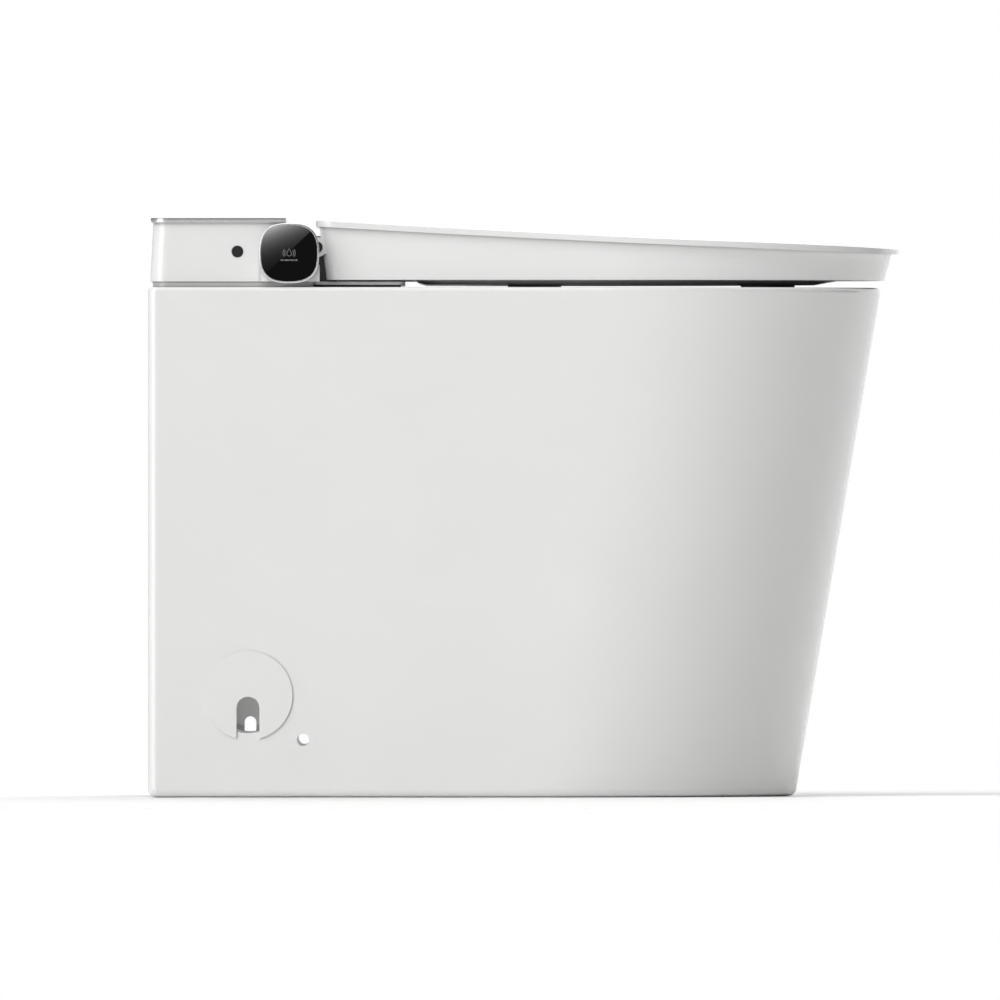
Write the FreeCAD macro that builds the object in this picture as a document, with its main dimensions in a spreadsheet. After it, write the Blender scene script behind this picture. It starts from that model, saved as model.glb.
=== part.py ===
import FreeCAD, Part
import math
import os
import Sketcher

# Smart toilet with a heated seat: a skirted ceramic pedestal carries a rear housing, a seat and a lid.
# +X points to the front, +Y to the user's left, +Z up; the origin lies on the floor, below the middle
# of the overall length and width. Each piece is drawn from the rear plane of the ceramic (X = 0 there)
# and its placement moves it back by half the overall length.

DIMENSIONS = (
    # ceramic pedestal
    ("overall_length", 678),
    ("ceramic_width", 396),
    ("ceramic_height", 459),
    ("lid_overhang", 16),
    ("front_lean", 78),
    ("nose_depth", 248),
    ("ceramic_wall", 12),
    ("deck_thickness", 50),
    ("ceramic_corner", 8),
    ("rim_round", 4),
    ("rim_joint", 300),
    ("floor_round", 7),
    # bowl and trap
    ("bowl_rear", 252),
    ("rim_front_width", 50),
    ("bowl_half_width", 135),
    ("bowl_widest", 430),
    ("bowl_wall", 11),
    ("sump_centre", 470),
    ("sump_radius", 34),
    ("sump_floor", 100),
    ("trap_bore", 54),
    ("trap_wall", 9),
    ("trap_bend", 36),
    ("trap_rise_angle", 50.7),
    ("trap_weir_height", 215),
    ("trap_above_sump", 3),
    ("outlet_distance", 290),
    ("seal_height", 20),
    ("seal_width", 14),
    ("seal_floor_gap", 0.5),
    # openings of the ceramic
    ("deck_opening_rear", 32),
    ("deck_opening_front", 212),
    ("deck_opening_width", 256),
    ("service_width", 220),
    ("service_height", 230),
    ("side_hole_distance", 90),
    ("side_hole_height", 91.4),
    ("side_hole_radius", 34),
    ("floor_bolt_distance", 139.5),
    ("floor_bolt_height", 51.3),
    ("floor_bolt_bore", 11),
    ("jet_height", 285),
    ("jet_diameter", 26),
    ("jet_wall", 3),
    # access covers over the side holes
    ("cover_diameter", 80.3),
    ("cover_plate", 1.4),
    ("cover_lip", 8),
    ("cover_lip_wall", 2),
    ("cover_lip_gap", 0.3),
    ("hose_notch_width", 20.7),
    ("hose_notch_top", 90.2),
    ("cable_notch_width", 10.5),
    ("cable_notch_top", 70.7),
    # tray under the rear housing
    ("tray_rear", 4),
    ("plinth_front", 149),
    ("deck_plate_front", 231),
    ("tray_inset", 14.5),
    ("deck_plate_width", 336),
    ("plinth_height", 5),
    ("deck_plate_thickness", 3),
    ("tray_corner", 14),
    ("nozzle_slot_rear", 122),
    ("nozzle_slot_right", 34),
    ("nozzle_slot_left", 17),
    ("gasket_margin", 4),
    # rear housing
    ("housing_front", 124),
    ("housing_rear_top", 4.5),
    ("housing_rear_bottom", 1.8),
    ("housing_width", 371),
    ("housing_height", 52.6),
    ("housing_wall", 2.8),
    ("cover_width", 377),
    ("top_cover_thickness", 4.5),
    ("top_cover_rear", 3.4),
    ("trim_thickness", 1.1),
    ("trim_height", 3.4),
    ("ear_inner", 182),
    ("ear_outer", 190),
    ("ear_front", 154.4),
    ("ear_inset", 1.5),
    ("cover_lip_depth", 4),
    # hinge axis of the seat and the lid
    ("hinge_distance", 152),
    ("hinge_height", 495),
    ("hinge_pin_diameter", 10),
    ("running_clearance", 0.06),
    ("post_inner", 150),
    ("post_outer", 166),
    ("post_depth", 20),
    ("post_above_axis", 10),
    ("arm_inner", 121),
    ("arm_outer", 148),
    ("knuckle_radius", 9.6),
    ("post_corner", 3.5),
    ("post_foot_length", 8),
    ("post_foot_height", 8),
    ("lug_inner", 168.5),
    ("lug_outer", 172.5),
    ("lug_radius", 9),
    ("damper_diameter", 15.6),
    ("damper_inner", 95.5),
    ("damper_outer", 116.5),
    ("damper_grip", 8),
    ("damper_foot", 10),
    # unit in front of the housing, between the seat arms
    ("unit_width", 238),
    ("unit_rear", 126),
    ("unit_shelf_height", 486),
    ("unit_crest", 172),
    ("unit_front_height", 485),
    ("unit_wall", 2),
    ("vent_slots", 5),
    ("vent_slot_height", 1.6),
    # seat
    ("seat_half_width", 167),
    ("seat_rear", 238),
    ("seat_front_inset", 26),
    ("seat_bottom", 461.4),
    ("seat_top", 485.5),
    ("seat_split", 470),
    ("seat_wall", 2.6),
    ("seat_hole_rear", 287),
    ("seat_ring_front", 75),
    ("seat_hole_half_width", 107),
    ("seat_heater_thickness", 0.8),
    ("bumper_gap", 0.3),
    ("rear_bumper_centre", 348),
    ("front_bumper_inset", 18),
    ("bumper_length", 48),
    ("bumper_width", 13),
    ("bumper_offset", 6),
    ("heater_margin", 14),
    ("heater_hole_margin", 9),
    # lid
    ("lid_rear", 151.2),
    ("lid_half_width", 181),
    ("lid_nose", 262),
    ("lid_corner", 18),
    ("lid_plate_rear_height", 513.5),
    ("lid_plate_front_height", 489.2),
    ("lid_sag", 1.7),
    ("lid_rear_edge", 4.6),
    ("lid_front_edge", 3.2),
    ("lid_crown", 5.6),
    ("skirt_bottom", 465.5),
    ("skirt_wall", 3),
    ("skirt_side_inset", 4.2),
    ("skirt_rear_inset", 2.4),
    ("skirt_front_inset", 0.4),
    ("skirt_side_taper", 3),
    ("skirt_rear_taper", 6.2),
    ("skirt_front_taper", 12.9),
    ("skirt_post_gap", 1.5),
    ("lid_bumper_radius", 6),
    ("rear_stud_distance", 330),
    ("rear_stud_offset", 128),
    ("front_stud_inset", 103),
    ("front_stud_offset", 96),
    # knob on the right ear
    ("knob_distance", 127),
    ("knob_height", 489.4),
    ("knob_size", 54),
    ("knob_face", 197.4),
    ("knob_back", 191.9),
    ("knob_bezel", 1.6),
    ("glass_thickness", 1.5),
    ("knob_travel", 1.5),
    ("spindle_diameter", 9),
    ("spindle_depth", 4.5),
    ("encoder_diameter", 40),
    ("encoder_floor", 1.6),
    ("encoder_thickness", 1.6),
    # flush button on the right side of the housing
    ("button_distance", 80.4),
    ("button_height", 491),
    ("button_diameter", 10.2),
    ("button_proud", 0.4),
    ("button_clearance", 0.2),
    ("button_flange", 1.2),
    ("button_flange_thickness", 1.5),
    ("button_stem_length", 3.5),
    ("switch_width", 18),
    ("switch_depth", 12),
    ("switch_wall", 1.6),
    # wash nozzle, drawn along its own axis from the tip of the resting wand
    ("nozzle_tip_distance", 222),
    ("nozzle_tip_height", 449),
    ("nozzle_angle", 15),
    ("wand_diameter", 16),
    ("wand_length", 150),
    ("wand_clearance", 0.3),
    ("cap_length", 3),
    ("guide_wall", 3),
    ("guide_side", 5),
    ("motor_diameter", 22),
    ("motor_height", 15),
    ("motor_shaft", 4),
    ("pinion_module", 1.25),
    ("pinion_teeth", 12),
    ("pinion_behind_tip", 60),
    ("tooth_play", 0.2),
    ("rack_offset", 12),
    ("rack_height", 6),
    ("trough_radius", 15),
    ("trough_behind_tip", 10),
    ("trough_past_bowl", 45),
    # parts inside the housing and the pedestal
    ("tank_rear", 38),
    ("tank_front", 132),
    ("tank_side_gap", 6),
    ("tank_height", 159),
    ("tank_wall", 3),
    ("pump_diameter", 80),
    ("pump_height", 58),
    ("pump_wall", 4),
    ("pump_post", 6),
    ("impeller_diameter", 60),
    ("impeller_plate", 5),
    ("vane_count", 6),
    ("vane_length", 22),
    ("vane_height", 12),
    ("service_port_distance", 60),
    ("service_port_inset", 43),
    ("service_port_radius", 18),
    ("inlet_thread", 20.9),
    ("cable_diameter", 8),
    ("tray_bolt_distance", 222),
    ("tray_bolt_offset", 50),
    ("tray_bolt_diameter", 6),
    ("board_thickness", 1.6),
    ("board_standoff", 6),
    ("board_rear", 18),
    ("board_front", 112),
    ("board_right", 169.5),
    ("board_left", 95.5),
    ("board_pin", 6),
    ("supply_rear", 20),
    ("supply_front", 112),
    ("supply_width", 44),
    ("supply_height", 34),
    ("heater_rear", 34),
    ("heater_front", 104),
    ("heater_right", 88),
    ("heater_left", 34),
    ("heater_height", 36),
    ("valve_rear", 14),
    ("valve_front", 50),
    ("valve_half_width", 16),
    ("valve_height", 22),
    ("coil_diameter", 24),
    ("coil_height", 20),
    ("hose_nipple", 8),
    ("fan_distance", 58),
    ("fan_offset", 95),
    ("fan_diameter", 50),
    ("fan_height", 16),
    ("duct_height", 16),
    ("duct_width", 30),
    ("scroll_wall", 2),
    ("scroll_room", 6),
)


class Size:
    """A number together with the sheet expression that it comes from."""

    def __init__(self, value, text):
        self.value = float(value)
        self.text = text

    def __float__(self):
        return self.value

    def __neg__(self):
        return Size(-self.value, f"(-{self.text})")

    def __add__(self, other):
        return joined(self, "+", other)

    def __radd__(self, other):
        return joined(other, "+", self)

    def __sub__(self, other):
        return joined(self, "-", other)

    def __rsub__(self, other):
        return joined(other, "-", self)

    def __mul__(self, other):
        return joined(self, "*", other)

    def __rmul__(self, other):
        return joined(other, "*", self)

    def __truediv__(self, other):
        return joined(self, "/", other)


def size(value):
    """The value as a Size, also when it is a plain number."""
    if isinstance(value, Size):
        return value
    return Size(value, f"({float(value)!r})")


def joined(first, sign, second):
    first, second = size(first), size(second)
    results = {
        "+": lambda a, b: a + b,
        "-": lambda a, b: a - b,
        "*": lambda a, b: a * b,
        "/": lambda a, b: a / b,
    }
    value = results[sign](first.value, second.value)
    return Size(value, f"({first.text} {sign} {second.text})")


doc = FreeCAD.newDocument("SmartToilet")
sheet = doc.addObject("Spreadsheet::Sheet", "Dims")
sheet.Label = "Dims"
for row, (alias, number) in enumerate(DIMENSIONS, start=1):
    sheet.set(f"A{row}", alias)
    sheet.set(f"B{row}", str(number))
    sheet.setAlias(f"B{row}", alias)
doc.recompute()


class Dims:
    """The sheet's cells by name, each as a Size."""

    def __getattr__(self, alias):
        return Size(sheet.get(alias), f"Dims.{alias}")


D = Dims()
SUBPARTS = []
VECTOR = FreeCAD.Vector
UP = VECTOR(0, 0, 1)
ACROSS = VECTOR(0, 1, 0)
FORWARD = VECTOR(1, 0, 0)
HALF_LENGTH = D.overall_length / 2
BEYOND = 1000
SIDES = (("right", -1), ("left", 1))


# --- building blocks -------------------------------------------------------------------------------


def bind(obj, name, value):
    """Tie one property of an object to the sheet."""
    obj.setExpression(name, size(value).text)


def place(obj, x=0, y=0, z=0):
    """Tie an object's position to the sheet."""
    base = VECTOR(float(x), float(y), float(z))
    obj.Placement = FreeCAD.Placement(base, obj.Placement.Rotation)
    for axis, value in (("x", x), ("y", y), ("z", z)):
        if isinstance(value, Size):
            bind(obj, f"Placement.Base.{axis}", value)


def subpart(obj, label):
    """Name an object as a sub-part and move it back by half the overall length."""
    obj.Label = label
    base = obj.Placement.Base
    for path, text in list(obj.ExpressionEngine):
        if path.lstrip(".") == "Placement.Base.x":
            obj.setExpression("Placement.Base.x", f"{text} - {HALF_LENGTH.text}")
            break
    else:
        obj.setExpression("Placement.Base.x", f"{base.x!r} - {HALF_LENGTH.text}")
    SUBPARTS.append(obj)
    return obj


def box(x0, x1, y0, y1, z0, z1):
    """A block between two corners."""
    block = doc.addObject("Part::Box", "Block")
    for name, low, high in (("Length", x0, x1), ("Width", y0, y1), ("Height", z0, z1)):
        bind(block, name, size(high) - low)
    place(block, size(x0), size(y0), size(z0))
    return block


def cylinder(x, y, z, radius, height, axis="z"):
    """A round bar that starts at a point and runs along one axis."""
    bar = doc.addObject("Part::Cylinder", "Bar")
    turn = {"x": (ACROSS, 90), "y": (FORWARD, -90), "z": (UP, 0)}[axis]
    bar.Placement = FreeCAD.Placement(VECTOR(), FreeCAD.Rotation(*turn))
    bind(bar, "Radius", radius)
    bind(bar, "Height", height)
    place(bar, size(x), size(y), size(z))
    return bar


def fused(pieces):
    """One solid from pieces that overlap or touch."""
    whole = doc.addObject("Part::MultiFuse", "Joined")
    whole.Shapes = pieces
    whole.Refine = True
    return whole


def without(base, tools):
    """A piece with others taken out of it."""
    rest = doc.addObject("Part::Cut", "Rest")
    rest.Base = base
    rest.Tool = tools[0] if len(tools) == 1 else fused(tools)
    rest.Refine = True
    return rest


def shaped(shape, label):
    """A sub-part whose form neither sketches nor primitives give."""
    feature = doc.addObject("Part::Feature", label)
    feature.Shape = shape
    return subpart(feature, label)


def new_body(label):
    body = doc.addObject("PartDesign::Body", label)
    return subpart(body, label)


def new_sketch(body, role, offset=None):
    """A sketch on one of the body's own planes, moved along the plane's normal."""
    sketch = body.newObject("Sketcher::SketchObject", "Sketch")
    plane = [item for item in body.Origin.OriginFeatures if item.Role == role][0]
    sketch.AttachmentSupport = [(plane, "")]
    sketch.MapMode = "FlatFace"
    if offset is not None:
        sketch.AttachmentOffset = FreeCAD.Placement(VECTOR(0, 0, float(offset)), FreeCAD.Rotation())
        bind(sketch, "AttachmentOffset.Base.z", offset)
    return sketch


def pin_point(sketch, geometry, end, x, y):
    """Hold one end of a sketch line at a place that follows the sheet."""
    for kind, value in (("DistanceX", x), ("DistanceY", y)):
        held = Sketcher.Constraint(kind, -1, 1, geometry, end, float(value))
        index = sketch.addConstraint(held)
        bind(sketch, f"Constraints[{index}]", value)


def polygon(sketch, corners):
    """A closed outline of straight lines."""
    points = [VECTOR(float(x), float(y), 0) for x, y in corners]
    lines = []
    for index, start in enumerate(points):
        end = points[(index + 1) % len(points)]
        lines.append(sketch.addGeometry(Part.LineSegment(start, end), False))
    for index, line in enumerate(lines):
        after = lines[(index + 1) % len(lines)]
        sketch.addConstraint(Sketcher.Constraint("Coincident", line, 2, after, 1))
        pin_point(sketch, line, 1, *corners[index])
    return sketch


def circle(sketch, x, y, radius):
    ring = Part.Circle(VECTOR(float(x), float(y), 0), UP, float(radius))
    index = sketch.addGeometry(ring, False)
    pin_point(sketch, index, 3, x, y)
    held = sketch.addConstraint(Sketcher.Constraint("Radius", index, float(radius)))
    bind(sketch, f"Constraints[{held}]", radius)
    return sketch


def rounded_rectangle(sketch, x0, x1, y0, y1, radius):
    """A rectangle whose four corners are arcs of one radius."""
    left, right, low, high = (float(value) for value in (x0, x1, y0, y1))
    r = float(radius)
    centres = ((right - r, high - r), (left + r, high - r), (left + r, low + r), (right - r, low + r))
    arcs = []
    for quarter, (cx, cy) in enumerate(centres):
        ring = Part.Circle(VECTOR(cx, cy, 0), UP, r)
        start = quarter * math.pi / 2
        arcs.append(sketch.addGeometry(Part.ArcOfCircle(ring, start, start + math.pi / 2), False))
    for quarter, arc in enumerate(arcs):
        after = arcs[(quarter + 1) % 4]
        curve, following = sketch.Geometry[arc], sketch.Geometry[after]
        line = sketch.addGeometry(Part.LineSegment(curve.EndPoint, following.StartPoint), False)
        sketch.addConstraint(Sketcher.Constraint("Tangent", arc, 2, line, 1))
        sketch.addConstraint(Sketcher.Constraint("Tangent", line, 2, after, 1))
        level = "Horizontal" if quarter % 2 == 0 else "Vertical"
        sketch.addConstraint(Sketcher.Constraint(level, line))
    for other in arcs[1:]:
        sketch.addConstraint(Sketcher.Constraint("Equal", arcs[0], other))
    held = sketch.addConstraint(Sketcher.Constraint("Radius", arcs[0], r))
    bind(sketch, f"Constraints[{held}]", radius)
    pin_point(sketch, arcs[0], 3, size(x1) - radius, size(y1) - radius)
    pin_point(sketch, arcs[2], 3, size(x0) + radius, size(y0) + radius)
    return sketch


def pad(body, sketch, length, reverse=False, middle=False):
    feature = body.newObject("PartDesign::Pad", "Pad")
    feature.Profile = sketch
    bind(feature, "Length", length)
    feature.Reversed = reverse
    feature.Midplane = middle
    return feature


def pocket(body, sketch, length, reverse=False, middle=False):
    """A cut from a sketch; a cut that takes nothing away stops the build."""
    doc.recompute()
    before = body.Shape.Volume
    feature = body.newObject("PartDesign::Pocket", "Pocket")
    feature.Profile = sketch
    bind(feature, "Length", length)
    feature.Reversed = reverse
    feature.Midplane = middle
    doc.recompute()
    if not body.Shape.Volume < before - 0.01:
        raise RuntimeError(f"a pocket of {body.Label} cuts nothing")
    return feature


# --- free forms --------------------------------------------------------------------------------------


def half_oval(x, z, depth, half, forward):
    """Half an ellipse across the width, bulging to the front or to the rear."""
    sign = 1 if forward else -1
    if depth >= half:
        ellipse = Part.Ellipse(VECTOR(x, 0, z), depth, half)
        start = -math.pi / 2 if forward else math.pi / 2
    else:
        ellipse = Part.Ellipse(VECTOR(x, half, z), VECTOR(x + depth, 0, z), VECTOR(x, 0, z))
        start = 0 if forward else math.pi
    arc = Part.ArcOfEllipse(ellipse, start, start + math.pi).toShape()
    if sign * (arc.valueAt(arc.FirstParameter + math.pi / 2).x - x) < 0:
        raise RuntimeError("an oval bulges the wrong way")
    return arc


def d_outline(z, rear, front, half, nose, corner):
    """A D seen from above: straight rear and sides, rounded rear corners and a half-oval front."""
    x = front - nose
    k = corner * (1 - math.sqrt(0.5))
    left = Part.Arc(
        VECTOR(rear + corner, half, z), VECTOR(rear + k, half - k, z), VECTOR(rear, half - corner, z)
    )
    right = Part.Arc(
        VECTOR(rear, -half + corner, z), VECTOR(rear + k, -half + k, z), VECTOR(rear + corner, -half, z)
    )
    edges = [
        Part.LineSegment(VECTOR(rear + corner, -half, z), VECTOR(x, -half, z)).toShape(),
        half_oval(x, z, nose, half, True),
        Part.LineSegment(VECTOR(x, half, z), VECTOR(rear + corner, half, z)).toShape(),
        left.toShape(),
        Part.LineSegment(VECTOR(rear, half - corner, z), VECTOR(rear, -half + corner, z)).toShape(),
        right.toShape(),
    ]
    return Part.Wire(edges)


def egg(z, rear, front, half, widest):
    """An oval that is widest at a chosen distance."""
    edges = [half_oval(widest, z, front - widest, half, True)]
    edges.append(half_oval(widest, z, widest - rear, half, False))
    return Part.Wire(edges)


def edges_at(shape, height):
    """The edges that lie wholly at one height."""
    level = lambda edge: all(abs(v.Point.z - height) < 1e-4 for v in edge.Vertexes)
    return [edge for edge in shape.Edges if level(edge)]


def tube(path, start, direction, radius):
    ring = Part.Wire([Part.Circle(start, direction, radius).toShape()])
    return Part.Wire(path).makePipeShell([ring], True, False)


def slab(x0, x1, y0, y1, z0, z1):
    return Part.makeBox(x1 - x0, y1 - y0, z1 - z0, VECTOR(x0, y0, z0))


# --- ceramic -----------------------------------------------------------------------------------------


def bowl_solid(growth):
    """The bowl's hollow, or with growth the outside of its wall."""
    height, floor = float(D.ceramic_height), float(D.sump_floor)
    sump, radius = float(D.sump_centre), float(D.sump_radius)
    rear_top, front_top = float(D.bowl_rear), float(rim_front() - D.rim_front_width)
    half_top, widest_top = float(D.bowl_half_width), float(D.bowl_widest)
    wires = []
    for t in (0, 0.18, 0.4, 0.62, 0.84, 1):
        fall = math.sin(math.pi / 2 * t)
        rear = rear_top + (sump - radius - rear_top) * fall
        front = front_top + (sump + radius - front_top) * t**1.8
        half = half_top + (radius - half_top) * t**1.5
        widest = widest_top + (sump - widest_top) * t
        z = height - (height - floor) * t - (growth if t == 1 else 0)
        wires.append(egg(z, rear - growth, front + growth, half + growth, widest))
    return Part.makeLoft(wires, True, False)


def trap_path(drop):
    """From the sump up to the weir and straight down to the floor, past both ends by a drop."""
    outlet, bend = float(D.outlet_distance), float(D.trap_bend)
    rise = math.radians(float(D.trap_rise_angle))
    heading = VECTOR(-math.cos(rise), 0, math.sin(rise))
    weir = float(D.trap_weir_height)
    turn = VECTOR(outlet + bend, 0, weir - bend * math.cos(rise))
    top = turn + VECTOR(bend * math.sin(rise), 0, bend * math.cos(rise))
    sink = (top.z - float(D.sump_floor + D.trap_above_sump)) / math.sin(rise) + drop
    start = top - heading * sink
    end = VECTOR(outlet, 0, turn.z)
    half_turn = math.pi / 2 + rise
    middle = turn + VECTOR(
        bend * math.cos(math.pi - half_turn / 2), 0, bend * math.sin(math.pi - half_turn / 2)
    )
    floor = VECTOR(outlet, 0, float(D.seal_height))
    path = [
        Part.LineSegment(start, top).toShape(),
        Part.Arc(top, middle, end).toShape(),
        Part.LineSegment(end, floor).toShape(),
    ]
    return path, start, heading


def rim_front():
    """The front of the ceramic's rim, which the lid overhangs."""
    return D.overall_length - D.lid_overhang


def front_at(height):
    """How far the ceramic's front reaches at a height."""
    fall = 1 - height / float(D.ceramic_height)
    return float(rim_front()) - float(D.front_lean) * fall


def pedestal_outside():
    half, nose = float(D.ceramic_width) / 2, float(D.nose_depth)
    corner, height = float(D.ceramic_corner), float(D.ceramic_height)
    wires = [d_outline(z, 0, front_at(z), half, nose, corner) for z in (0, height)]
    block = Part.makeLoft(wires, True, True)
    block = block.makeFillet(float(D.rim_round), edges_at(block, height))
    return block.makeFillet(float(D.floor_round), edges_at(block, 0))


def pedestal_inside(low, high):
    """The room inside the walls, between two heights."""
    wall, half, nose = float(D.ceramic_wall), float(D.ceramic_width) / 2, float(D.nose_depth)
    wires = []
    for z in (low, high):
        wires.append(d_outline(z, wall, front_at(z) - wall, half - wall, nose - wall, wall / 2))
    return Part.makeLoft(wires, True, True)


def nozzle_point(behind, side=0, above=0):
    """A point given along the wand's axis, counted from the tip of the resting wand."""
    angle = math.radians(float(D.nozzle_angle))
    x = float(D.nozzle_tip_distance) - behind * math.cos(angle) + above * math.sin(angle)
    z = float(D.nozzle_tip_height) + behind * math.sin(angle) + above * math.cos(angle)
    return VECTOR(x, side, z)


def nozzle_direction():
    angle = math.radians(float(D.nozzle_angle))
    return VECTOR(math.cos(angle), 0, -math.sin(angle))


def port_offset():
    """How far to the side the ports for the hose and the cable lie."""
    return D.ceramic_width / 2 - D.service_port_inset


def deck_cuts():
    """The deck's opening for the tank, and the holes for hose, cable and the tray's bolts."""
    height = float(D.ceramic_height)
    low = height - float(D.deck_thickness) - 1
    half = float(D.deck_opening_width) / 2
    cuts = [slab(float(D.deck_opening_rear), float(D.deck_opening_front), -half, half, low, height + 1)]
    for _, sign in SIDES:
        port = VECTOR(float(D.service_port_distance), sign * float(port_offset()), low)
        cuts.append(Part.makeCylinder(float(D.service_port_radius), height, port, UP))
        bolt = VECTOR(float(D.tray_bolt_distance), sign * float(D.tray_bolt_offset), low)
        cuts.append(Part.makeCylinder(float(D.tray_bolt_diameter) / 2 + 1, height, bolt, UP))
    return cuts


def side_cuts():
    """The round holes through both side walls and the opening low in the rear wall."""
    half = float(D.ceramic_width) / 2
    service, top = float(D.service_width) / 2, float(D.service_height)
    cuts = [slab(-1, float(D.ceramic_wall) + 1, -service, service, -1, top)]
    for name, radius in (("side_hole", D.side_hole_radius), ("floor_bolt", D.floor_bolt_bore / 2)):
        start = VECTOR(float(getattr(D, f"{name}_distance")), -half - 1, float(getattr(D, f"{name}_height")))
        cuts.append(Part.makeCylinder(float(radius), 2 * half + 2, start, ACROSS))
    return cuts


def trough_cuts():
    """The open channel that lets the wand slide out over the bowl."""
    radius, opening = float(D.trough_radius), float(D.deck_opening_front)
    start = nozzle_point(float(D.nozzle_tip_distance + D.trough_behind_tip) - opening)
    reach = float(D.bowl_rear + D.trough_past_bowl) - opening
    end = start + nozzle_direction() * reach
    level = float(D.ceramic_height) + 5
    side = [start, end, VECTOR(end.x, 0, level), VECTOR(start.x, 0, level), start]
    above = Part.Face(Part.makePolygon(side)).extrude(ACROSS * (2 * radius))
    above.translate(ACROSS * -radius)
    return [Part.makeCylinder(radius, reach, start, nozzle_direction()), above]


def jet_cut():
    """The bore for the jet pipe through the bowl's rear wall."""
    start = VECTOR(float(D.tank_front), 0, float(D.jet_height))
    return Part.makeCylinder(float(D.jet_diameter) / 2 + 0.4, jet_end() + 4 - start.x, start, FORWARD)


def ceramic_pedestal():
    """The one-piece ceramic in nodes that meet without a gap: walls, deck, rims, bowl and trap."""
    height, wall = float(D.ceramic_height), float(D.trap_wall)
    bore = float(D.trap_bore) / 2
    walls = pedestal_outside().cut(pedestal_inside(-1, height + 1))
    for tool in side_cuts():
        walls = walls.cut(tool)
    shaped(walls.removeSplitter(), "ceramic_walls")
    deck = pedestal_inside(height - float(D.deck_thickness), height)
    bowl_outside = bowl_solid(float(D.bowl_wall))
    deck = deck.cut(bowl_outside)
    for tool in deck_cuts() + trough_cuts():
        deck = deck.cut(tool)
    joint = float(D.rim_joint)
    deck = deck.removeSplitter()
    shaped(deck.common(slab(0, joint, -BEYOND, BEYOND, 0, BEYOND)), "ceramic_deck")
    shaped(deck.common(slab(joint, BEYOND, -BEYOND, 0, 0, BEYOND)), "ceramic_rim_right")
    shaped(deck.common(slab(joint, BEYOND, 0, BEYOND, 0, BEYOND)), "ceramic_rim_left")
    inner_path, inner_start, heading = trap_path(0)
    channel = tube(inner_path, inner_start, heading, bore)
    bowl = bowl_outside.cut([bowl_solid(0), channel])
    for tool in trough_cuts() + [jet_cut()]:
        bowl = bowl.cut(tool)
    shaped(bowl.removeSplitter(), "ceramic_bowl")
    outer_path, outer_start, _ = trap_path(wall)
    trap = tube(outer_path, outer_start, heading, bore + wall)
    trap = trap.cut([channel, bowl_outside])
    shaped(trap.removeSplitter(), "ceramic_trap")


def jet_end():
    """Where the jet pipe meets the inside of the bowl's rear wall."""
    t = (float(D.ceramic_height) - float(D.jet_height)) / (float(D.ceramic_height) - float(D.sump_floor))
    span = float(D.sump_centre) - float(D.sump_radius) - float(D.bowl_rear)
    return float(D.bowl_rear) + span * math.sin(math.pi / 2 * t)


def drain_seal():
    """A soft ring that seals the outlet to the floor."""
    body = new_body("drain_seal")
    inner, low = D.trap_bore / 2, D.seal_floor_gap
    ring = new_sketch(body, "XY_Plane", low)
    circle(ring, D.outlet_distance, 0, inner + D.seal_width)
    pad(body, ring, D.seal_height - low)
    hole = new_sketch(body, "XY_Plane", low)
    circle(hole, D.outlet_distance, 0, inner)
    pocket(body, hole, D.seal_height, reverse=True)


def access_cover(name, sign, notch_width, notch_top):
    """A round plate with a lip that snaps into the side hole; a notch lets a hose or cable out."""
    half, plate_depth, lip_depth = D.ceramic_width / 2, D.cover_plate, D.cover_lip
    x, z = D.side_hole_distance, D.side_hole_height
    plate_start = half if sign > 0 else -half - plate_depth
    lip_start = half - lip_depth if sign > 0 else -half
    plate = cylinder(x, plate_start, z, D.cover_diameter / 2, plate_depth, "y")
    outer = D.side_hole_radius - D.cover_lip_gap
    lip = cylinder(x, lip_start, z, outer, lip_depth, "y")
    bore_start = lip_start - sign * plate_depth / 2
    lip_bore = cylinder(x, bore_start, z, outer - D.cover_lip_wall, lip_depth, "y")
    low = half - 2 * lip_depth if sign > 0 else -half - 2 * plate_depth
    depth = 3 * lip_depth
    radius = notch_width / 2
    arch = cylinder(x, low, notch_top - radius, radius, depth, "y")
    foot = z - D.cover_diameter / 2 - 1
    slot = box(x - radius, x + radius, low, low + depth, foot, notch_top - radius)
    cover = without(fused([plate, without(lip, [lip_bore])]), [arch, slot])
    subpart(cover, f"access_cover_{name}")


# --- tray and housing ----------------------------------------------------------------------------------


def tray_half():
    """Half the tray's width."""
    return D.ceramic_width / 2 - D.tray_inset


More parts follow.
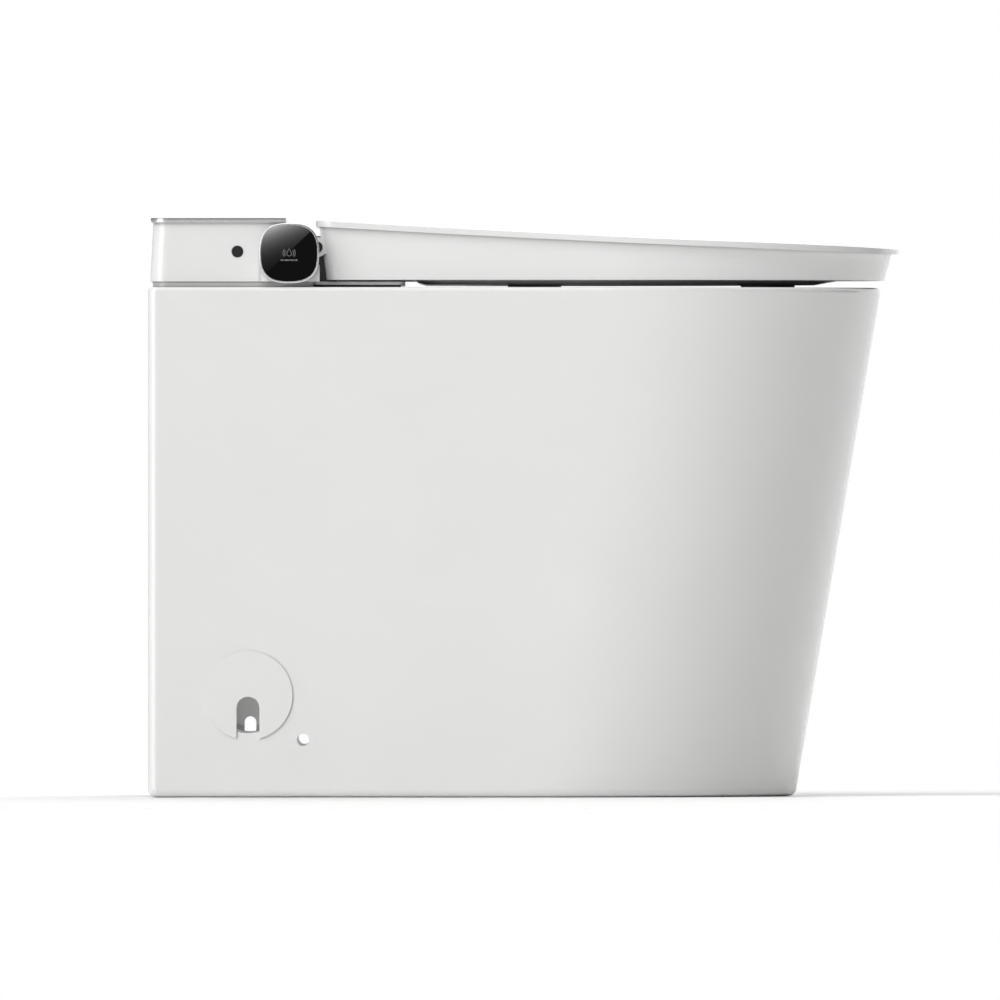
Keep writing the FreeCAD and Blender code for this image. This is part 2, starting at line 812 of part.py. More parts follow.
def base_tray():
    """The plate on the ceramic that carries everything above it."""
    body = new_body("base_tray")
    base, half = D.ceramic_height, tray_half()
    plinth = new_sketch(body, "XY_Plane", base)
    rounded_rectangle(plinth, D.tray_rear, D.plinth_front, -half, half, D.tray_corner)
    pad(body, plinth, D.plinth_height)
    plate_half = D.deck_plate_width / 2
    level = base + D.plinth_height
    plate = new_sketch(body, "XY_Plane", level)
    rear = D.plinth_front - 2 * D.tray_corner
    rounded_rectangle(plate, rear, D.deck_plate_front, -plate_half, plate_half, size(6))
    pad(body, plate, D.deck_plate_thickness, reverse=True)
    pins = new_sketch(body, "XY_Plane", level)
    inset = D.board_pin
    for x in (D.board_rear + inset, D.board_front - inset):
        for y in (inset - D.board_right, -D.board_left - inset):
            circle(pins, x, y, D.board_pin / 2)
    pad(body, pins, D.board_standoff)
    slot = new_sketch(body, "XY_Plane", level)
    corners = (
        (D.nozzle_slot_rear, -D.nozzle_slot_right),
        (D.deck_plate_front + 2, -D.nozzle_slot_right),
        (D.deck_plate_front + 2, D.nozzle_slot_left),
        (D.nozzle_slot_rear, D.nozzle_slot_left),
    )
    polygon(slot, corners)
    pocket(body, slot, D.plinth_height * 2, reverse=False)
    holes = new_sketch(body, "XY_Plane", level)
    for sign in (-1, 1):
        circle(holes, D.tray_bolt_distance, sign * D.tray_bolt_offset, D.tray_bolt_diameter / 2 + 0.2)
    circle(holes, D.service_port_distance, port_offset(), D.cable_diameter / 2)
    circle(holes, D.service_port_distance, -port_offset(), D.cable_diameter / 2)
    pocket(body, holes, D.plinth_height * 2)


def deck_gasket():
    """A dark strip between the deck plate and the ceramic."""
    margin = D.gasket_margin
    half = D.deck_plate_width / 2 - margin
    height = D.plinth_height - D.deck_plate_thickness
    body = new_body("deck_gasket")
    outline = new_sketch(body, "XY_Plane", D.ceramic_height)
    corners = (
        (D.plinth_front, -half),
        (D.deck_plate_front - margin, -half),
        (D.deck_plate_front - margin, half),
        (D.plinth_front, half),
    )
    polygon(outline, corners)
    pad(body, outline, height)
    slot = new_sketch(body, "XY_Plane", D.ceramic_height + height)
    corners = (
        (D.plinth_front - 2, -D.nozzle_slot_right),
        (D.deck_plate_front + 2, -D.nozzle_slot_right),
        (D.deck_plate_front + 2, D.nozzle_slot_left),
        (D.plinth_front - 2, D.nozzle_slot_left),
    )
    polygon(slot, corners)
    pocket(body, slot, height)
    holes = new_sketch(body, "XY_Plane", D.ceramic_height + height)
    for sign in (-1, 1):
        circle(holes, D.tray_bolt_distance, sign * D.tray_bolt_offset, D.tray_bolt_diameter / 2 + 0.3)
    pocket(body, holes, height)
    chamber = new_sketch(body, "XY_Plane", D.ceramic_height + height)
    half_opening = D.deck_opening_width / 2
    corners = (
        (D.plinth_front - 2, -half_opening),
        (D.deck_opening_front, -half_opening),
        (D.deck_opening_front, half_opening),
        (D.plinth_front - 2, half_opening),
    )
    polygon(chamber, corners)
    pocket(body, chamber, height)


def tray_bolts():
    """Screws through the tray and the ceramic deck, heads above, with their nuts as a second group."""
    level = D.ceramic_height + D.plinth_height
    shank_bottom = D.ceramic_height - D.deck_thickness - 14
    bolts, nuts = [], []
    for sign in (-1, 1):
        x, y = D.tray_bolt_distance, sign * D.tray_bolt_offset
        head = cylinder(x, y, level, D.tray_bolt_diameter, size(4))
        shank = cylinder(x, y, shank_bottom, D.tray_bolt_diameter / 2, level - shank_bottom)
        bolts.append(fused([head, shank]))
        under = D.ceramic_height - D.deck_thickness
        nut = cylinder(x, y, under - 8, D.tray_bolt_diameter * 1.6, size(8))
        bore = cylinder(x, y, under - 9, D.tray_bolt_diameter / 2 + 0.02, size(10))
        nuts.append(without(nut, [bore]))
    subpart(fused(bolts), "tray_bolts")
    subpart(fused(nuts), "tray_nuts")


def housing_block(inset, low, high):
    """The housing's outline between two heights, drawn in by an inset."""
    front = float(D.housing_front) - inset
    half = float(D.housing_width) / 2 - inset
    corner = float(D.tray_corner) - inset
    base = float(D.ceramic_height + D.plinth_height)
    rears = (float(D.housing_rear_bottom), float(D.housing_rear_top))
    rise = (rears[1] - rears[0]) / float(D.housing_height)
    wires = []
    for z in (low, high):
        rear = rears[0] + rise * (z - base) + inset
        wires.append(rear_rounded(z, rear, front, half, corner))
    return Part.makeLoft(wires, True, True)


def rear_rounded(z, rear, front, half, corner):
    """A rectangle with its two rear corners rounded."""
    k = corner * (1 - math.sqrt(0.5))
    left = Part.Arc(
        VECTOR(rear + corner, half, z), VECTOR(rear + k, half - k, z), VECTOR(rear, half - corner, z)
    )
    right = Part.Arc(
        VECTOR(rear, -half + corner, z), VECTOR(rear + k, -half + k, z), VECTOR(rear + corner, -half, z)
    )
    corners = [VECTOR(rear + corner, -half, z), VECTOR(front, -half, z), VECTOR(front, half, z)]
    corners.append(VECTOR(rear + corner, half, z))
    edges = [Part.makeLine(a, b) for a, b in zip(corners, corners[1:])]
    edges += [left.toShape(), Part.makeLine(left.EndPoint, right.StartPoint), right.toShape()]
    return Part.Wire(edges)


def ear_shape(sign):
    """The outside of the cheek beside the hinge, which stands behind the knob."""
    inner, outer = float(D.ear_inner), float(D.ear_outer)
    x, z = float(D.knob_distance), float(D.knob_height)
    radius = float(D.knob_size / 2 - D.ear_inset)
    base = float(D.ceramic_height + D.plinth_height)
    start = sign * inner if sign > 0 else -outer
    disc = Part.makeCylinder(radius, outer - inner, VECTOR(x, start, z), ACROSS)
    foot = slab(x, float(D.ear_front), start, start + outer - inner, base, z - radius * 0.4)
    rear = slab(x - radius, x, start, start + outer - inner, base, z)
    below = slab(0, BEYOND, -BEYOND, BEYOND, 0, base)
    return disc.fuse([foot, rear]).cut(below).removeSplitter()


def rear_housing():
    """The thin shell behind the hinge, open below and above."""
    base = float(D.ceramic_height + D.plinth_height)
    top = base + float(D.housing_height)
    wall = float(D.housing_wall)
    shell = housing_block(0, base, top).cut(housing_block(wall, base - 1, top + 1))
    for _, sign in SIDES:
        shell = shell.cut(ear_shape(sign))
    half = float(D.unit_width) / 2 - 4
    front = float(D.housing_front)
    door = slab(front - wall - 1, front + 1, -half, half, base - 1, float(D.unit_shelf_height) - 0.5)
    shell = shell.cut(door)
    x, z = float(D.button_distance), float(D.button_height)
    hole = float(D.button_diameter) / 2 + float(D.button_clearance)
    shell = shell.cut(Part.makeCylinder(hole, 20, VECTOR(x, -float(D.housing_width) / 2 - 5, z), ACROSS))
    return shaped(shell.removeSplitter(), "rear_housing")


def housing_ears():
    """The cheeks at both ends of the hinge; the right one has a well for the knob's sensor."""
    shaped(ear_shape(1), "housing_ear_left")
    x, z = float(D.knob_distance), float(D.knob_height)
    outer, floor = float(D.ear_outer), float(D.ear_inner + D.encoder_floor)
    radius = float(D.encoder_diameter) / 2 + 0.3
    well = Part.makeCylinder(radius, outer + 1 - floor, VECTOR(x, -outer - 1, z), ACROSS)
    shaped(ear_shape(-1).cut(well), "housing_ear_right")


def rear_block(width, rear, inset, corner, low, high, beyond=0):
    """A block of a width with the housing's outline from above, drawn in by an inset."""
    half = float(width) / 2 - inset
    front = float(D.housing_front) - inset + beyond
    wire = rear_rounded(low, rear, front, half, corner)
    return Part.Face(wire).extrude(VECTOR(0, 0, high - low))


def housing_top():
    return float(D.ceramic_height + D.plinth_height + D.housing_height)


def rear_top_cover():
    """The lid of the rear housing: a flat plate with a lip that locates it inside the shell."""
    level, trim = housing_top(), float(D.trim_thickness)
    corner, top = float(D.tray_corner), housing_top() + float(D.top_cover_thickness)
    plate = rear_block(D.cover_width, float(D.top_cover_rear), trim, corner - trim, level, top, trim)
    gap, depth = float(D.housing_wall) + 0.2, float(D.cover_lip_depth)
    rear = float(D.housing_rear_top)
    width = D.housing_width
    lip = rear_block(width, rear + gap, gap, corner - 2, level - depth, level)
    lip = lip.cut(rear_block(width, rear + gap + 2, gap + 2, corner - 4, level - depth, level))
    for _, sign in SIDES:
        lip = lip.cut(ear_shape(sign))
    return shaped(plate.fuse(lip).removeSplitter(), "rear_top_cover")


def cover_trim():
    """A thin metal band round the rear and the sides of the top cover."""
    high = housing_top() + float(D.top_cover_thickness)
    low, trim = high - float(D.trim_height), float(D.trim_thickness)
    rear, corner = float(D.top_cover_rear) - trim, float(D.tray_corner)
    band = rear_block(D.cover_width, rear, 0, corner, low, high)
    inside = rear_block(D.cover_width, rear + trim, trim, corner - trim, low, high, 2 * trim)
    return shaped(band.cut(inside), "cover_trim")


# --- hinge ---------------------------------------------------------------------------------------------


def hinge_post(name, sign):
    """An upright on the tray that holds the hinge pin, between the seat arm and the lid's lug."""
    body = new_body(f"hinge_post_{name}")
    x, base = D.hinge_distance, D.ceramic_height + D.plinth_height
    thickness = D.post_outer - D.post_inner
    near = D.post_inner if sign < 0 else -D.post_outer
    top = D.hinge_height + D.post_above_axis
    half = D.post_depth / 2
    outline = new_sketch(body, "XZ_Plane", near)
    rounded_rectangle(outline, x - half, x + half, base, top, D.post_corner)
    pad(body, outline, thickness)
    toe, rise = x + half + D.post_foot_length, base + D.post_foot_height
    foot = new_sketch(body, "XZ_Plane", near)
    corners = (
        (x - half, base),
        (toe, base),
        (toe, base + D.post_foot_height / 2),
        (x + half, rise),
        (x - half, rise),
    )
    polygon(foot, corners)
    pad(body, foot, thickness)
    bore = new_sketch(body, "XZ_Plane", near)
    circle(bore, x, D.hinge_height, D.hinge_pin_diameter / 2 + D.running_clearance)
    pocket(body, bore, thickness, reverse=True)


def hinge_pin(name, sign):
    """The steel pin that is pressed into the seat's arm and turns in the damper, post and lug."""
    inner, outer = D.damper_outer - D.damper_grip, D.lug_outer + 0.3
    start = inner if sign > 0 else -outer
    pin = cylinder(D.hinge_distance, start, D.hinge_height, D.hinge_pin_diameter / 2, outer - inner, "y")
    subpart(pin, f"hinge_pin_{name}")


def hinge_damper(name, sign):
    """The slow-closing damper at the inner end of the pin, on a bracket of the tray."""
    base = D.ceramic_height + D.plinth_height
    start = D.damper_inner if sign > 0 else -D.damper_outer
    length = D.damper_outer - D.damper_inner
    x, z, half = D.hinge_distance, D.hinge_height, D.damper_foot / 2
    barrel = cylinder(x, start, z, D.damper_diameter / 2, length, "y")
    foot = box(x - half, x + half, start + 2, start + length - 2, base, z)
    grip = D.damper_grip + 1
    mouth = start + length - D.damper_grip if sign > 0 else start - 1
    bore = cylinder(x, mouth, z, D.hinge_pin_diameter / 2 + D.running_clearance, grip, "y")
    subpart(without(fused([barrel, foot]), [bore]), f"hinge_damper_{name}")


def unit_cover():
    """The cover between the seat arms, over the nozzle, the dryer duct and the dampers."""
    base = float(D.ceramic_height + D.plinth_height)
    x, z = float(D.hinge_distance), float(D.hinge_height)
    above = float(D.post_above_axis)
    shelf, crest = float(D.unit_shelf_height), float(D.unit_crest)
    rear, front = float(D.unit_rear), float(D.deck_plate_front)
    nose = float(D.unit_front_height)

    def outline(inset, low):
        radius = above - inset
        start = VECTOR(x - radius, 0, z)
        arc = Part.Arc(
            start,
            VECTOR(x - radius * math.sqrt(0.5), 0, z + radius * math.sqrt(0.5)),
            VECTOR(x, 0, z + radius),
        )
        points = [
            VECTOR(x, 0, z + radius),
            VECTOR(crest - inset / 4, 0, z + above - inset),
            VECTOR(front - inset, 0, nose - inset),
            VECTOR(front - inset, 0, low),
            VECTOR(rear - (inset and 1), 0, low),
            VECTOR(rear - (inset and 1), 0, shelf - inset),
            VECTOR(x - radius, 0, shelf - inset),
            start,
        ]
        edges = [Part.makeLine(a, b) for a, b in zip(points, points[1:])]
        return Part.Face(Part.Wire(edges + [arc.toShape()]))

    half, wall = float(D.unit_width) / 2, float(D.unit_wall)
    body = outline(0, base).extrude(VECTOR(0, 2 * half, 0))
    body.translate(VECTOR(0, -half, 0))
    hollow = outline(wall, base - 1).extrude(VECTOR(0, 2 * (half - wall), 0))
    hollow.translate(VECTOR(0, wall - half, 0))
    body = body.cut(hollow)
    pin = float(D.hinge_pin_diameter) / 2 + 0.4
    body = body.cut(Part.makeCylinder(pin, 2 * half + 2, VECTOR(x, -half - 1, z), ACROSS))
    start, edge = dryer_duct_start() + wall, float(D.scroll_wall)
    end = start + float(D.duct_width) - 2 * wall
    count, slot = int(float(D.vent_slots)), float(D.vent_slot_height)
    step = (float(D.duct_height) - slot) / count
    for index in range(count):
        low = base + edge + slot + index * step
        body = body.cut(slab(front - wall - 1, front + 1, start, end, low, low + slot))
    return shaped(body.removeSplitter(), "unit_cover")


# --- seat ----------------------------------------------------------------------------------------------


def seat_front():
    """The front of the ring, behind the lid's edge."""
    return D.overall_length - D.seat_front_inset


def seat_hole_front():
    """The front of the ring's opening."""
    return seat_front() - D.seat_ring_front


def seat_solid(inset):
    """The ring's outside, drawn in by an inset: rounded above, rounded more below.

    Each level has a height and how far its outline is drawn in behind, ahead and at the sides.
    """
    rear, front, half = float(D.seat_rear), float(seat_front()), float(D.seat_half_width)
    bottom, top = float(D.seat_bottom) + inset, float(D.seat_top) - inset
    split = float(D.seat_split)
    levels = (
        (bottom, 12, 51, 20),
        (bottom + 3 - inset * 0.6, 4, 34, 10),
        (split, 0.6, 10, 2.5),
        (split + 6, 0, 0, 0),
        (top - 3.5 + inset * 0.4, 1, 1, 1.2),
        (top - 0.9, 3.2, 4, 4),
        (top, 7, 9, 8),
    )
    wires = []
    for z, behind, ahead, side in levels:
        width = half - side - inset
        length = front - ahead - inset - (rear + behind + inset)
        nose = min(0.62 * length, length - 30)
        wires.append(d_outline(z, rear + behind + inset, front - ahead - inset, width, nose, 26 - inset))
    return Part.makeLoft(wires, True, False)


def seat_hole(inset):
    """The ring's opening, wider above, grown by an inset."""
    rear, front = float(D.seat_hole_rear), float(seat_hole_front())
    half = float(D.seat_hole_half_width)
    bottom, top = float(D.seat_bottom), float(D.seat_top)
    levels = ((bottom - 1, 2.5), (bottom + 3, 0.4), (top - 9, 0), (top - 3, 1.8), (top + 0.5, 8))
    wires = []
    for z, flare in levels:
        grow = flare + inset
        wires.append(egg(z, rear - grow, front + grow, half + grow, seat_hole_widest()))
    return Part.makeLoft(wires, True, False)


def seat_arm(sign):
    """The arm from the ring back to the pin."""
    x, z = float(D.hinge_distance), float(D.hinge_height)
    radius, inner, outer = float(D.knuckle_radius), float(D.arm_inner), float(D.arm_outer)
    start = inner if sign > 0 else -outer
    knuckle = Part.makeCylinder(radius, outer - inner, VECTOR(x, start, z), ACROSS)
    rear = float(D.seat_rear)
    split = float(D.seat_split)
    points = [
        VECTOR(x, start, z + radius),
        VECTOR(rear + 30, start, float(D.seat_top) - 2.4),
        VECTOR(rear + 30, start, split),
        VECTOR(rear + 4, start, split),
        VECTOR(x + radius * 0.6, start, z - radius * 0.8),
        VECTOR(x, start, z),
    ]
    web = Part.Face(Part.makePolygon(points + points[:1])).extrude(ACROSS * (outer - inner))
    return knuckle.fuse(web)


def arm_bore(sign):
    """The hole in the arm for the hinge pin."""
    inner, outer = float(D.arm_inner), float(D.arm_outer)
    start = VECTOR(float(D.hinge_distance), (inner if sign > 0 else -outer) - 1, float(D.hinge_height))
    radius = float(D.hinge_pin_diameter) / 2 + 0.01
    return Part.makeCylinder(radius, outer - inner + 2, start, ACROSS)


def seat_shells():
    """The ring in two shells that meet at the split, with the arms on the upper one."""
    split, wall = float(D.seat_split), float(D.seat_wall)
    ring = seat_solid(0).cut(seat_hole(0))
    core = seat_solid(wall).cut(seat_hole(wall))
    above = slab(0, BEYOND, -BEYOND, BEYOND, split, BEYOND)
    below = slab(0, BEYOND, -BEYOND, BEYOND, 0, split)
    upper = ring.common(above).cut(core)
    for _, sign in SIDES:
        upper = upper.fuse(seat_arm(sign).cut(below))
    for _, sign in SIDES:
        upper = upper.cut(arm_bore(sign))
    inside = core.common(above)
    room = slab(float(D.seat_rear) + 34, BEYOND, -BEYOND, BEYOND, split, BEYOND)
    upper = upper.cut(inside.common(room))
    shaped(upper.removeSplitter(), "seat_upper_shell")
    lower = ring.common(below).cut(core)
    shaped(lower.removeSplitter(), "seat_lower_shell")
    heater_top = float(D.seat_top) - wall - 0.02
    heater_low = heater_top - float(D.seat_heater_thickness)
    plate = slab(float(D.seat_rear) + 38, BEYOND, -BEYOND, BEYOND, heater_low, heater_top)
    outside = seat_flat(wall + float(D.heater_margin))
    inside = seat_hole(wall + float(D.heater_hole_margin))
    heater = outside.common(plate).cut(inside)
    shaped(heater.removeSplitter(), "seat_heater")


def seat_flat(inset):
    """The ring's outline as an upright block."""
    rear, front, half = float(D.seat_rear), float(seat_front()), float(D.seat_half_width)
    length = front - rear - 2 * inset
    wire = d_outline(0, rear + inset, front - inset, half - inset, 0.62 * length, 20)
    return Part.Face(wire).extrude(UP * BEYOND)


def seat_bumpers():
    """Four soft pads under the ring that rest on the ceramic rim; they follow the opening's edge."""
    low, top = float(D.ceramic_height + D.bumper_gap), float(D.seat_bottom)
    band = hole_prism(float(D.bumper_offset) + float(D.bumper_width), low, top)
    band = band.cut(hole_prism(float(D.bumper_offset), low - 1, top + 1))
    reach = float(D.bumper_length) / 2
    pads = []
    for centre in (float(D.rear_bumper_centre), float(seat_hole_front() - D.front_bumper_inset)):
        pads += band.common(slab(centre - reach, centre + reach, -BEYOND, BEYOND, low - 1, top + 1)).Solids
    return shaped(Part.makeCompound(pads), "seat_bumpers")


def hole_prism(growth, low, high):
    """The outline of the ring's opening, grown, as an upright block."""
    rear, front = float(D.seat_hole_rear) - growth, float(seat_hole_front()) + growth
    half, widest = float(D.seat_hole_half_width) + growth, seat_hole_widest()
    return Part.Face(egg(low, rear, front, half, widest)).extrude(VECTOR(0, 0, high - low))


def seat_hole_widest():
    return (float(D.seat_hole_rear) + float(seat_hole_front())) / 2 - 8


# --- lid -----------------------------------------------------------------------------------------------


def plate_bottom(x):
    """The height of the lid plate's slightly sagging underside."""
    rear, front = float(D.lid_rear), float(D.overall_length)
    low, high = float(D.lid_plate_front_height), float(D.lid_plate_rear_height)
    share = (x - rear) / (front - rear)
    return high + (low - high) * share - 4 * float(D.lid_sag) * share * (1 - share)


def lid_outline(z, inset_rear, inset_side, inset_front):
    rear, front = float(D.lid_rear) + inset_rear, float(D.overall_length) - inset_front
    half = float(D.lid_half_width) - inset_side
    nose = float(D.lid_nose) - inset_front
    return d_outline(z, rear, front, half, nose, float(D.lid_corner) - inset_side)


def lid_plate():
    """The shallow dome that covers the seat."""
    rear, front = float(D.lid_rear), float(D.overall_length)
    crown, half = float(D.lid_crown), float(D.lid_half_width)
    rear_edge, front_edge = float(D.lid_rear_edge), float(D.lid_front_edge)
    wires = []
    for share in (-0.02, 0.25, 0.5, 0.75, 1.02):
        x = rear + (front - rear) * share
        side = plate_bottom(x) + rear_edge + (front_edge - rear_edge) * share + 0.6
        low = side - 40
        middle = side + crown * max(math.sin(math.pi * min(max(share, 0), 1)), 0.02)
        arc = Part.Arc(VECTOR(x, half + 9, side), VECTOR(x, 0, middle), VECTOR(x, -half - 9, side))
        points = [VECTOR(x, -half - 9, side), VECTOR(x, -half - 9, low), VECTOR(x, half + 9, low)]
        points.append(VECTOR(x, half + 9, side))
        edges = [Part.makeLine(a, b) for a, b in zip(points, points[1:])]
        wires.append(Part.Wire([arc.toShape()] + edges))
    dome = Part.makeLoft(wires, True, False)
    prism = Part.Face(lid_outline(0, 0, 0, 0)).extrude(UP * BEYOND)
    return shaped(dome.common(prism).common(above_plate_bottom()), "lid_plate")


def skirt_block(inset, low, high):
    """The skirt's outside, narrowing downwards, drawn in by an inset."""
    top = float(D.lid_plate_rear_height)
    bottom = float(D.skirt_bottom)
    wires = []
    for z in (low, high):
        share = (top - z) / (top - bottom)
        rear = float(D.skirt_rear_inset) + float(D.skirt_rear_taper) * share + inset
        side = float(D.skirt_side_inset) + float(D.skirt_side_taper) * share + inset
        front = float(D.skirt_front_inset) + float(D.skirt_front_taper) * share + inset
        wires.append(lid_outline(z, rear, side, front))
    return Part.makeLoft(wires, True, True)


def above_plate_bottom():
    """Everything above the lid plate's underside, which is an arc from rear to front."""
    rear, front = float(D.lid_rear) - 20, float(D.overall_length) + 20
    low, middle, high = (
        VECTOR(x, -BEYOND, plate_bottom(x)) for x in (front, (rear + front) / 2, rear)
    )
    roof = Part.makePolygon([low, VECTOR(front, -BEYOND, BEYOND), VECTOR(rear, -BEYOND, BEYOND), high])
    underside = Part.Arc(high, middle, low).toShape()
    return Part.Face(Part.Wire([underside] + roof.Edges)).extrude(ACROSS * (2 * BEYOND))


def lid_lug(sign):
    """The lug on the lid that turns on the hinge pin."""
    x, z = float(D.hinge_distance), float(D.hinge_height)
    inner, outer = float(D.lug_inner), float(D.lug_outer)
    start = inner if sign > 0 else -outer
    disc = Part.makeCylinder(float(D.lug_radius), outer - inner, VECTOR(x, start, z), ACROSS)
    arm = slab(x + 3, x + 34, start, start + outer - inner, z - 6, float(D.lid_plate_rear_height) + 3)
    return disc.fuse(arm)


def lug_bore(sign):
    """The hole for the hinge pin, through the lug and into the skirt's wall beside it."""
    inner = float(D.post_outer)
    outer = float(D.lug_outer) + 0.5
    start = VECTOR(float(D.hinge_distance), inner if sign > 0 else -outer, float(D.hinge_height))
    radius = float(D.hinge_pin_diameter / 2 + D.running_clearance)
    return Part.makeCylinder(radius, outer - inner, start, ACROSS)


def lid_skirt():
    """The ring below the plate, open at the rear, and the two lugs that turn on the hinge pins."""
    bottom, wall = float(D.skirt_bottom), float(D.skirt_wall)
    top = float(D.lid_plate_rear_height) + 3
    ring = skirt_block(0, bottom, top).cut(skirt_block(wall, bottom - 1, top + 1))
    clear = float(D.post_outer + D.skirt_post_gap)
    door = slab(0, float(D.lid_rear) + 60, -clear, clear, 0, BEYOND)
    ring = ring.cut(door)
    ring = ring.cut(above_plate_bottom())
    for name, sign in SIDES:
        lug = lid_lug(sign).cut([above_plate_bottom(), lug_bore(sign)])
        ring = ring.cut([lug, lug_bore(sign)])
        shaped(lug.removeSplitter(), f"lid_lug_{name}")
    return shaped(ring.removeSplitter(), "lid_skirt")


def lid_bumpers():
    """Soft studs under the lid that rest on the seat."""
    studs = []
    radius, low = float(D.lid_bumper_radius), float(D.seat_top + D.bumper_gap)
    above = above_plate_bottom()
    ahead = D.overall_length - D.front_stud_inset
    for x, y in ((D.rear_stud_distance, D.rear_stud_offset), (ahead, D.front_stud_offset)):
        x, y = float(x), float(y)
        for _, sign in SIDES:
            stud = Part.makeCylinder(radius, 40, VECTOR(x, sign * y, low), UP)
            studs += stud.cut(above).Solids
    return shaped(Part.makeCompound(studs), "lid_bumpers")


# --- knob and button -------------------------------------------------------------------------------------


def squircle(y, half):
    """A square with bulging sides and soft corners in an upright plane."""
    x, z = float(D.knob_distance), float(D.knob_height)
    power = 2 / 2.7
    points = []
    count = 32
    for index in range(count):
        angle = 2 * math.pi * (index + 0.5) / count
        c, s = math.cos(angle), math.sin(angle)
        px = math.copysign(abs(c) ** power, c) * half
        pz = math.copysign(abs(s) ** power, s) * half
        points.append(VECTOR(x + px, y, z + pz))
    curve = Part.BSplineCurve()
    curve.interpolate(points, PeriodicFlag=True)
    return Part.Wire([curve.toShape()])


def knob():
    """A bezel ring with a hub, and the dark glass that fills its face."""
    half = float(D.knob_size) / 2
    face, back = -float(D.knob_face), -float(D.knob_back)
    x, z = float(D.knob_distance), float(D.knob_height)
    glass, bezel = float(D.glass_thickness), float(D.knob_bezel)
    body = Part.Face(squircle(face, half)).extrude(VECTOR(0, back - face, 0))
    rim = [edge for edge in body.Edges if all(abs(v.Point.y - face) < 1e-5 for v in edge.Vertexes)]
    body = body.makeFillet(0.7, rim)
    seat = Part.Face(squircle(face - 1, half - bezel)).extrude(VECTOR(0, glass + 1, 0))
    body = body.cut(seat)
    hub = Part.makeCylinder(8, 2, VECTOR(x, back, z), ACROSS)
    body = body.fuse(hub)
    bore = float(D.spindle_diameter) / 2 + float(D.running_clearance)
    depth = float(D.spindle_depth)
    body = body.cut(Part.makeCylinder(bore, depth, VECTOR(x, back + 2 - depth, z), ACROSS))
    shaped(body.removeSplitter(), "knob_body")
    pane = Part.Face(squircle(face + glass, half - bezel - 0.05)).extrude(VECTOR(0, 0.05 - glass, 0))
    shaped(pane, "knob_glass")


def knob_spindle():
    """The shaft that the knob turns on; pressing the knob pushes it into the ear."""
    x, z = D.knob_distance, D.knob_height
    start = -(D.knob_back - 2 + D.spindle_depth) + 0.1
    end = -(D.ear_inner + D.encoder_floor) - D.knob_travel - 0.2
    shaft = cylinder(x, start, z, D.spindle_diameter / 2, end - start, "y")
    subpart(shaft, "knob_spindle")


def knob_encoder():
    """The flat sensor ring in the bottom of the ear's well."""
    x, z = D.knob_distance, D.knob_height
    depth = D.encoder_thickness
    start = -(D.ear_inner + D.encoder_floor + depth)
    ring = cylinder(x, start, z, D.encoder_diameter / 2, depth, "y")
    bore = cylinder(x, start - 1, z, D.spindle_diameter / 2 + 0.05, depth + 2, "y")
    subpart(without(ring, [bore]), "knob_encoder")


def flush_button():
    """The small round button on the right side: a cap, a flange behind the wall and a stem."""
    x, z = D.button_distance, D.button_height
    wall = D.housing_width / 2
    cap_start = -wall - D.button_proud
    inside = -wall + D.housing_wall + 0.3
    radius, thickness = D.button_diameter / 2, D.button_flange_thickness
    cap = cylinder(x, cap_start, z, radius, inside - cap_start, "y")
    flange = cylinder(x, inside, z, radius + D.button_flange, thickness, "y")
    stem = cylinder(x, inside + thickness, z, size(2), D.button_stem_length, "y")
    subpart(fused([cap, flange, stem]), "flush_button")


def button_switch():
    """The switch box behind the button, fixed to the inside of the wall."""
    x, z = D.button_distance, D.button_height
    wall = -D.housing_width / 2 + D.housing_wall
    half, depth = D.switch_width / 2, D.switch_depth
    inner = half - D.switch_wall
    block = box(x - half, x + half, wall, wall + depth, z - half, z + half)
    room = box(x - inner, x + inner, wall - 1, wall + depth - 4, z - inner, z + inner)
    subpart(without(block, [room]), "button_switch")


# --- wash nozzle -----------------------------------------------------------------------------------------


def along_wand(shape, label):
    """Turn a shape drawn along the wand's axis into place and keep it as a sub-part."""
    turn = FreeCAD.Placement(nozzle_point(0), FreeCAD.Rotation(ACROSS, float(D.nozzle_angle)))
    moved = shape.copy()
    moved.transformShape(turn.toMatrix())
    return shaped(moved.removeSplitter(), label)


def tooth_wire(centre, across, out, pitch, half_width, module):
    """One trapezoid tooth on a pitch line; its foot reaches into what carries it."""
    low, high = -1.4 * module, 0.85 * module
    slope = math.tan(math.radians(20))
    points = []
    for level, sign in ((low, -1), (high, -1), (high, 1), (low, 1)):
        width = half_width - slope * level
        points.append(centre + out * (pitch + level) + across * (sign * width))
    return Part.Face(Part.makePolygon(points + points[:1]))


def pinion_radius():
    return float(D.pinion_module) * float(D.pinion_teeth) / 2


